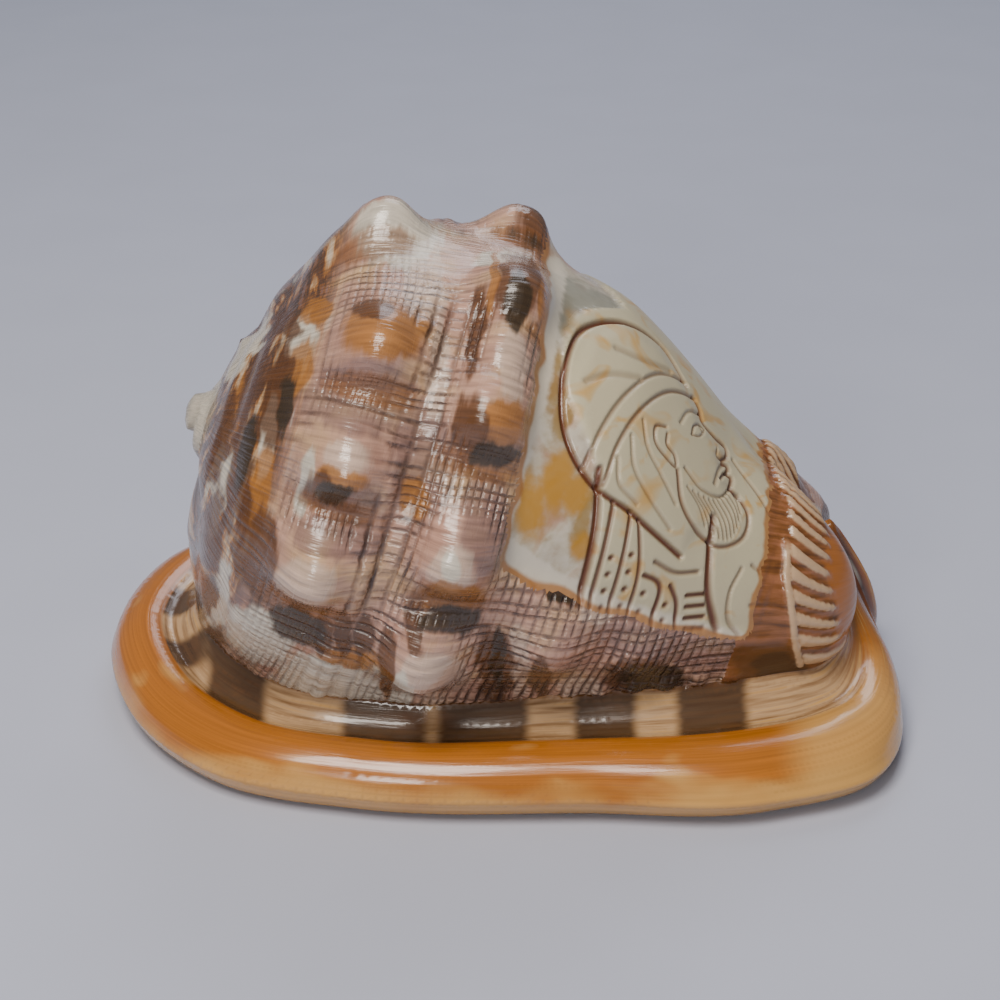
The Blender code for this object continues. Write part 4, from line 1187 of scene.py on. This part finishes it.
def glazed_lip(colours):
    """The lip's porcelain-like callus: a hard wet gloss over orange, barred with brown next to the back."""
    material, tree, shader = new_material("porcelain_lip", Roughness=0.2, IOR=1.53, Coat_Weight=0.4,
                                          Coat_Roughness=0.06)
    mouth = add(tree, "Attribute", out="Vector", attribute_name="mouth")
    names = ("way", "bar", "facet", "canal", "slit", "tooth", "groove")
    way, bar, facet, canal, slit, tooth, groove = (
        add(tree, "Attribute", out="Fac", attribute_name=name) for name in names)
    noises = []
    for long, wide, detail in (
        (20.0, 0.8, 4.0),  # streaks, where layers of the lip show along it
        (16.0, 7.0, 2.0),  # patches
        (30.0, 0.25, 3.0),  # lines a quarter of a millimetre wide
    ):
        place = add(tree, "VectorMath", {0: mouth, 1: (1 / long, 1 / wide, 0.0)}, operation="MULTIPLY")
        noises.append(add(tree, "TexNoise", {"Vector": place, "Scale": 1.0, "Detail": detail}, out="Fac"))
    streak, patch, line = noises
    band = add(tree, "ValToRGB", {0: streak}, stops=(
        (0.3, colours["tan"]), (0.75, colours["lip_cream"]), (0.55, colours["cream"])))
    bar_colour = add(tree, "ValToRGB", {0: patch}, stops=(
        (0.35, colours["umber"]), (0.75, colours["brown"]), (0.55, colours["umber"])))
    bar_edge = add(tree, "Math", {0: streak, 1: 0.8, 2: bar}, operation="MULTIPLY_ADD")
    bar_share = add(tree, "MapRange", {0: bar_edge, 1: 0.55, 2: 1.25, 3: 0.0, 4: 0.92},
                    interpolation_type="SMOOTHSTEP")
    band = add(tree, "Mix", {0: bar_share, 6: band, 7: bar_colour}, out=2, data_type="RGBA")
    rim = add(tree, "ValToRGB", {0: patch}, stops=(
        (0.45, colours["rim"]), (0.78, colours["lip_cream"]), (0.6, colours["rim"])))
    tone = add(tree, "MapRange", {0: line, 1: 0.3, 2: 0.7, 3: 0.8, 4: 1.15})
    rim = add(tree, "VectorMath", {0: rim, "Scale": tone}, operation="SCALE")
    lower_way = add(tree, "Math", {0: patch, 1: 0.5, 2: way}, operation="MULTIPLY_ADD")
    lower = add(tree, "MapRange", {0: lower_way, 1: 2.05, 2: 2.28, 3: 0.0, 4: 0.85},
                interpolation_type="SMOOTHSTEP")
    facet_share = add(tree, "Math", {0: facet, 1: 0.8}, operation="MULTIPLY")
    for share in (lower, facet_share):
        rim = add(tree, "Mix", {0: share, 6: rim, 7: rgba(colours["lip_cream"])}, out=2, data_type="RGBA")
    edge = add(tree, "Math", {0: streak, 1: 0.08, 2: way}, operation="MULTIPLY_ADD")
    past = add(tree, "MapRange", {0: edge, 1: 1.44, 2: 1.48, 3: 0.0, 4: 1.0}, interpolation_type="SMOOTHSTEP")
    colour = add(tree, "Mix", {0: past, 6: band, 7: rim}, out=2, data_type="RGBA")
    canal_colour = add(tree, "ValToRGB", {0: streak}, stops=(
        (0.35, colours["rim"]), (0.72, colours["lip_cream"]), (0.55, colours["orange"])))
    canal_share = add(tree, "MapRange", {0: canal, 1: 0.05, 2: 0.4, 3: 0.0, 4: 1.0})
    under = add(tree, "ValToRGB", {0: patch}, stops=(
        (0.3, colours["shield"]), (0.72, colours["lip_cream"]), (0.5, colours["rim"])))
    under_share = add(tree, "MapRange", {0: way, 1: 2.1, 2: 2.35, 3: 0.0, 4: 1.0})
    # Painted shade of the canal's narrow gap, in the brown of the cuts
    slit_shade_share = add(tree, "Math", {0: slit, 1: canal_share}, operation="MULTIPLY")
    toothed = add(tree, "Mix", {0: tooth, 6: rgba(colours["umber"]), 7: rgba(colours["white"])}, out=2,
                  data_type="RGBA")
    tooth_zone = add(tree, "MapRange", {0: way, 1: 2.7, 2: 2.86, 3: 0.0, 4: 0.8})
    # Painted shade in the lip's layer lines and in the crease at the foot of the back, in chestnut
    painted_groove_shade = add(tree, "Math", {0: groove, 1: 0.45}, operation="MULTIPLY")
    for share, over in (
        (canal_share, canal_colour), (under_share, under), (slit_shade_share, rgba(colours["stain"])),
        (tooth_zone, toothed), (painted_groove_shade, rgba(colours["chestnut"])),
    ):
        colour = add(tree, "Mix", {0: share, 6: colour, 7: over}, out=2, data_type="RGBA")
    tree.links.new(colour, shader.inputs["Base Color"])
    bump = add(tree, "Bump", {"Height": streak, "Strength": 0.25, "Distance": 0.0004})
    tree.links.new(bump, shader.inputs["Normal"])
    return material


def chamber_glaze(colours):
    """The animal's own smooth lining of the chamber, creamy orange and evenly glossy."""
    material, tree, shader = new_material("chamber_glaze", Roughness=0.25, IOR=1.53)
    whorl = add(tree, "Attribute", out="Vector", attribute_name="whorl")
    place = add(tree, "VectorMath", {0: whorl, 1: (1 / 14.0, 1 / 14.0, 0.0)}, operation="MULTIPLY")
    cloud = add(tree, "TexNoise", {"Vector": place, "Scale": 1.0, "Detail": 2.0}, out="Fac")
    colour = add(tree, "ValToRGB", {0: cloud}, stops=((0.35, colours["rim"]), (0.65, colours["lip_cream"])))
    tree.links.new(colour, shader.inputs["Base Color"])
    return material


# Settings, operators and panel

COLOURS = (
    ("pink", "#AC8270", "Pink of the ridges"),
    ("blush", "#B38D79", "Blush of the back"),
    ("cream", "#BC9A72", "Cream of the back"),
    ("pale", "#C3AC9A", "Pale tops of the lumps"),
    ("white", "#C6BEAE", "Worn white"),
    ("mauve", "#6E5552", "Mauve grey of the corded parts"),
    # The groove colour is painted shade in the lattice's grooves
    ("groove", "#42302A", "Dirt in the grooves"),
    ("brown", "#573519", "Brown blotches"),
    # Chestnut also colours the crescents under the lumps, partly painted shade, and the painted shade in the
    # lip's grooves
    ("chestnut", "#75481F", "Chestnut flames"),
    # Olive: the undersides of the lumps, partly their own colour and partly painted shade
    ("olive", "#322717", "Dark undersides of the lumps"),
    ("umber", "#3A2615", "Darkest bars"),
    ("orange", "#9A6428", "Orange tops of the lumps"),
    ("amber", "#AB7A20", "Amber in the marbled flank"),
    ("marble", "#B7AFA1", "Marbled flank"),
    ("glass", "#7E8074", "Thin grey ground at the top"),
    ("figure", "#BAB193", "Cream layer of the figure"),
    ("figure_warm", "#BC985C", "Warm patches of the figure"),
    ("stain", "#5C3019", "Brown showing in the cuts"),
    ("rim", "#A8641C", "Orange of the lip"),
    ("lip_cream", "#CC9C56", "Cream of the lip"),
    ("fringe", "#946040", "Brown pink between the ribs"),
    ("rib", "#C2A482", "White layer of the ribs"),
    ("honey", "#8C7038", "Brown glassy patches of the marbled flank"),
    ("tan", "#7C5A36", "Tan of the band beside the back"),
    ("shield", "#AC5A2A", "Orange red of the underside"),
)


def colour_settings():
    """One colour property for each of COLOURS."""
    return {
        name: FloatVectorProperty(
            name=label, description=f"{label}, in linear light", size=3, min=0, max=1,
            default=linear(value), subtype="COLOR")
        for name, value, label in COLOURS
    }


class ShellSettings(bpy.types.PropertyGroup):
    cord_pitch: FloatProperty(
        name="Cord pitch", description="Width of the cords that run round the whorl",
        default=0.00145, min=0.0008, max=0.004, unit="LENGTH")
    cord_height: FloatProperty(
        name="Cord height", description="How far the cords stand above the grooves between them",
        default=0.00042, min=0.0, max=0.002, unit="LENGTH")
    growth_pitch: FloatProperty(
        name="Growth line pitch", description="Distance between growth lines across the cords",
        default=0.0019, min=0.0008, max=0.006, unit="LENGTH")
    growth_height: FloatProperty(
        name="Growth line height", description="How deep the growth lines are",
        default=0.0003, min=0.0, max=0.002, unit="LENGTH")
    carving_depth: FloatProperty(
        name="Carving depth", description="Depth of the deepest lines of the cameo",
        default=0.0006, min=0.0, max=0.0012, unit="LENGTH")
    detail: FloatProperty(
        name="Edge length", description="Edge lengths of the mesh, as a share of the usual ones",
        default=1.0, min=0.7, max=6.0, subtype="FACTOR")


class ColourSettings(bpy.types.PropertyGroup):
    __annotations__ = colour_settings()


class StageSettings(bpy.types.PropertyGroup):
    elevation: FloatProperty(
        name="Camera height", description="Angle of the camera above the table",
        default=CAMERA_ELEVATION, min=0.0, max=1.5, subtype="ANGLE")
    distance: FloatProperty(
        name="Camera distance", description="Distance from the camera to the middle of the picture",
        default=CAMERA_DISTANCE * MM, min=0.2, max=2.0, unit="LENGTH")
    lens: FloatProperty(
        name="Lens", description="Focal length on a 36 mm wide sensor, in millimetres",
        default=LENS, min=20.0, max=200.0)
    key_power: FloatProperty(
        name="Key light", description="Power of the large soft lamp over the shell",
        default=6.5, min=0.0, max=100.0, unit="POWER")
    fill_power: FloatProperty(
        name="Fill light", description="Power of each of the two lamps that soften the shadows",
        default=2.6, min=0.0, max=100.0, unit="POWER")
    floor_colour: FloatVectorProperty(
        name="Floor", description="Colour of the table, in linear light", size=3, min=0, max=1,
        default=linear("#B2B7C8"), subtype="COLOR")


class SHELL_OT_build(bpy.types.Operator):
    """Builds the whole shell: whorls, lips, canal, slot, chamber and cameo, as one skin"""

    bl_idname = "cameo_shell.build"
    bl_label = "Build shell"

    def execute(self, context):
        settings = context.scene.cameo_shell
        turns, ways, faces = coarse_grid()
        points = Skin(turns).points(ways)
        for _ in range(MOST_HALVINGS):
            *grid, cut_any = halve_long_edges(turns, ways, points, faces, settings.detail)
            turns, ways, points, faces = grid
            if not cut_any:
                break
        height, masks, vectors = relief(settings, turns, ways, points)
        points = points + vertex_normals(points, faces) * height[:, None]
        points[:, 2] = np.maximum(points[:, 2], 0.0)
        mesh = bpy.data.meshes.new("helmet_shell_skin")
        mesh.from_pydata(((points + TO_MIDDLE) * MM).tolist(), [], faces.tolist())
        for name, values in masks.items():
            mesh.attributes.new(name, "FLOAT", "POINT").data.foreach_set("value", values.astype(np.float32))
        for name, values in vectors.items():
            attribute = mesh.attributes.new(name, "FLOAT_VECTOR", "POINT")
            attribute.data.foreach_set("vector", values.astype(np.float32).ravel())
        colours = {name: tuple(getattr(context.scene.cameo_shell_colours, name)) for name, _, _ in COLOURS}
        for make in MAKERS:
            mesh.materials.append(make(colours))
        mesh.polygons.foreach_set("material_index", face_materials(ways, points, faces, masks))
        mesh.shade_smooth()
        if mesh.validate():
            self.report({"ERROR"}, "the shell's mesh had faults")
            raise RuntimeError("the shell's mesh had faults")
        shell = bpy.data.objects.new("shell_skin", mesh)
        context.scene.collection.objects.link(shell)
        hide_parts(CAD_NODE)
        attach(shell, "root")
        return {"FINISHED"}


# Places of the materials in the mesh's list, which is in this order
MAKERS = (worn_whorl, carved_window, fringe_layer, glazed_lip, chamber_glaze)
WHORL, CARVED, FRINGE, LIP, CHAMBER = range(len(MAKERS))


def face_materials(ways, points, faces, masks):
    """Which material each triangle takes, by where its middle is."""
    way = ways[faces].mean(1)
    middle = points[faces].mean(1)
    along, _, turn = whorl_place(middle)
    cut = masks["cut"][faces].mean(1) > 0.35
    fringe = (along > WINDOW_ALONG[1] - 2) & (turn > FRINGE_TURN - 5)
    index = np.full(len(faces), LIP)
    index[way < FOOT] = WHORL
    index[(way < FOOT) & fringe] = FRINGE
    index[(way < FOOT) & cut] = CARVED
    index[way > THROAT] = CHAMBER
    return index.astype(np.int32)


HALF_TABLE = 4.0
# Soft lamps: place and width in metres, the setting with the power, tint
LAMPS = (
    ("key", (-0.15, -0.3, 0.75), 0.35, "key_power", "#FFF6EC"),
    ("fill", (-0.25, -0.8, 0.38), 0.22, "fill_power", "#FFFAF4"),
    ("back", (0.1, 0.7, 0.7), 0.5, "fill_power", "#F2F4FF"),
)
ROOM_TINT, ROOM_STRENGTH = "#DCDFE8", 0.25


class SHELL_OT_stage(bpy.types.Operator):
    """Sets up the table, the soft lamps and the camera of the photograph"""

    bl_idname = "cameo_shell.stage"
    bl_label = "Set the stage"

    def execute(self, context):
        settings = context.scene.cameo_shell_stage
        scene = context.scene
        middle = Vector((CAMERA_TARGET + TO_MIDDLE) * MM)
        mesh = bpy.data.meshes.new("table")
        corners = [(x * HALF_TABLE, y * HALF_TABLE, 0) for x, y in ((-1, -1), (1, -1), (1, 1), (-1, 1))]
        mesh.from_pydata(corners, [], [(0, 1, 2, 3)])
        floor = bpy.data.objects.new("table", mesh)
        scene.collection.objects.link(floor)
        mesh.materials.append(matt_table(tuple(settings.floor_colour)))
        for name, place, width, power, tint in LAMPS:
            data = bpy.data.lights.new(name, "AREA")
            data.shape = "SQUARE"
            data.size = width
            data.energy = getattr(settings, power)
            data.color = linear(tint)
            lamp = bpy.data.objects.new(name, data)
            lamp.location = place
            lamp.rotation_euler = (middle - Vector(place)).to_track_quat("-Z", "Y").to_euler()
            scene.collection.objects.link(lamp)
        world = bpy.data.worlds.new("soft_room")
        world.use_nodes = True
        background = world.node_tree.nodes["Background"]
        background.inputs["Color"].default_value = rgba(linear(ROOM_TINT))
        background.inputs["Strength"].default_value = ROOM_STRENGTH
        scene.world = world
        data = bpy.data.cameras.new("photo_camera")
        data.lens = settings.lens
        data.sensor_width = SENSOR
        camera = bpy.data.objects.new("photo_camera", data)
        back = Vector((0, -math.cos(settings.elevation), math.sin(settings.elevation)))
        camera.location = middle + back * settings.distance
        camera.rotation_euler = (-back).to_track_quat("-Z", "Y").to_euler()
        scene.collection.objects.link(camera)
        scene.camera = camera
        return {"FINISHED"}


def matt_table(colour):
    """Plain matt card, so faintly mottled that it only keeps the light from looking flat."""
    material, tree, shader = new_material("matt_card", Roughness=0.8)
    place = add(tree, "TexCoord", out="Object")
    mottle = add(tree, "TexNoise", {"Vector": place, "Scale": 30.0, "Detail": 2.0}, out="Fac")
    tone = add(tree, "MapRange", {0: mottle, 1: 0.3, 2: 0.7, 3: 0.985, 4: 1.015})
    toned = add(tree, "VectorMath", {0: colour, "Scale": tone}, operation="SCALE")
    tree.links.new(toned, shader.inputs["Base Color"])
    return material


class SHELL_PT_panel(bpy.types.Panel):
    """Shows every setting of the shell, its colours and the stage, and the two operators"""

    bl_idname = "SHELL_PT_panel"
    bl_label = "Cameo shell"
    bl_space_type = "VIEW_3D"
    bl_region_type = "UI"
    bl_category = "Cameo shell"

    def draw(self, context):
        column = self.layout.column()
        scene = context.scene
        for group in (scene.cameo_shell, scene.cameo_shell_colours, scene.cameo_shell_stage):
            for name in type(group).__annotations__:
                column.prop(group, name)
        for operator in (SHELL_OT_build, SHELL_OT_stage):
            column.operator(operator.bl_idname)


CLASSES = (ShellSettings, ColourSettings, StageSettings, SHELL_OT_build, SHELL_OT_stage, SHELL_PT_panel)


def register():
    for cls in CLASSES:
        bpy.utils.register_class(cls)
    bpy.types.Scene.cameo_shell = PointerProperty(type=ShellSettings)
    bpy.types.Scene.cameo_shell_colours = PointerProperty(type=ColourSettings)
    bpy.types.Scene.cameo_shell_stage = PointerProperty(type=StageSettings)


def unregister():
    del bpy.types.Scene.cameo_shell_stage
    del bpy.types.Scene.cameo_shell_colours
    del bpy.types.Scene.cameo_shell
    for cls in reversed(CLASSES):
        bpy.utils.unregister_class(cls)


def main():
    register()
    bpy.ops.cameo_shell.build()
    bpy.ops.cameo_shell.stage()


if __name__ == "__main__":
    main()
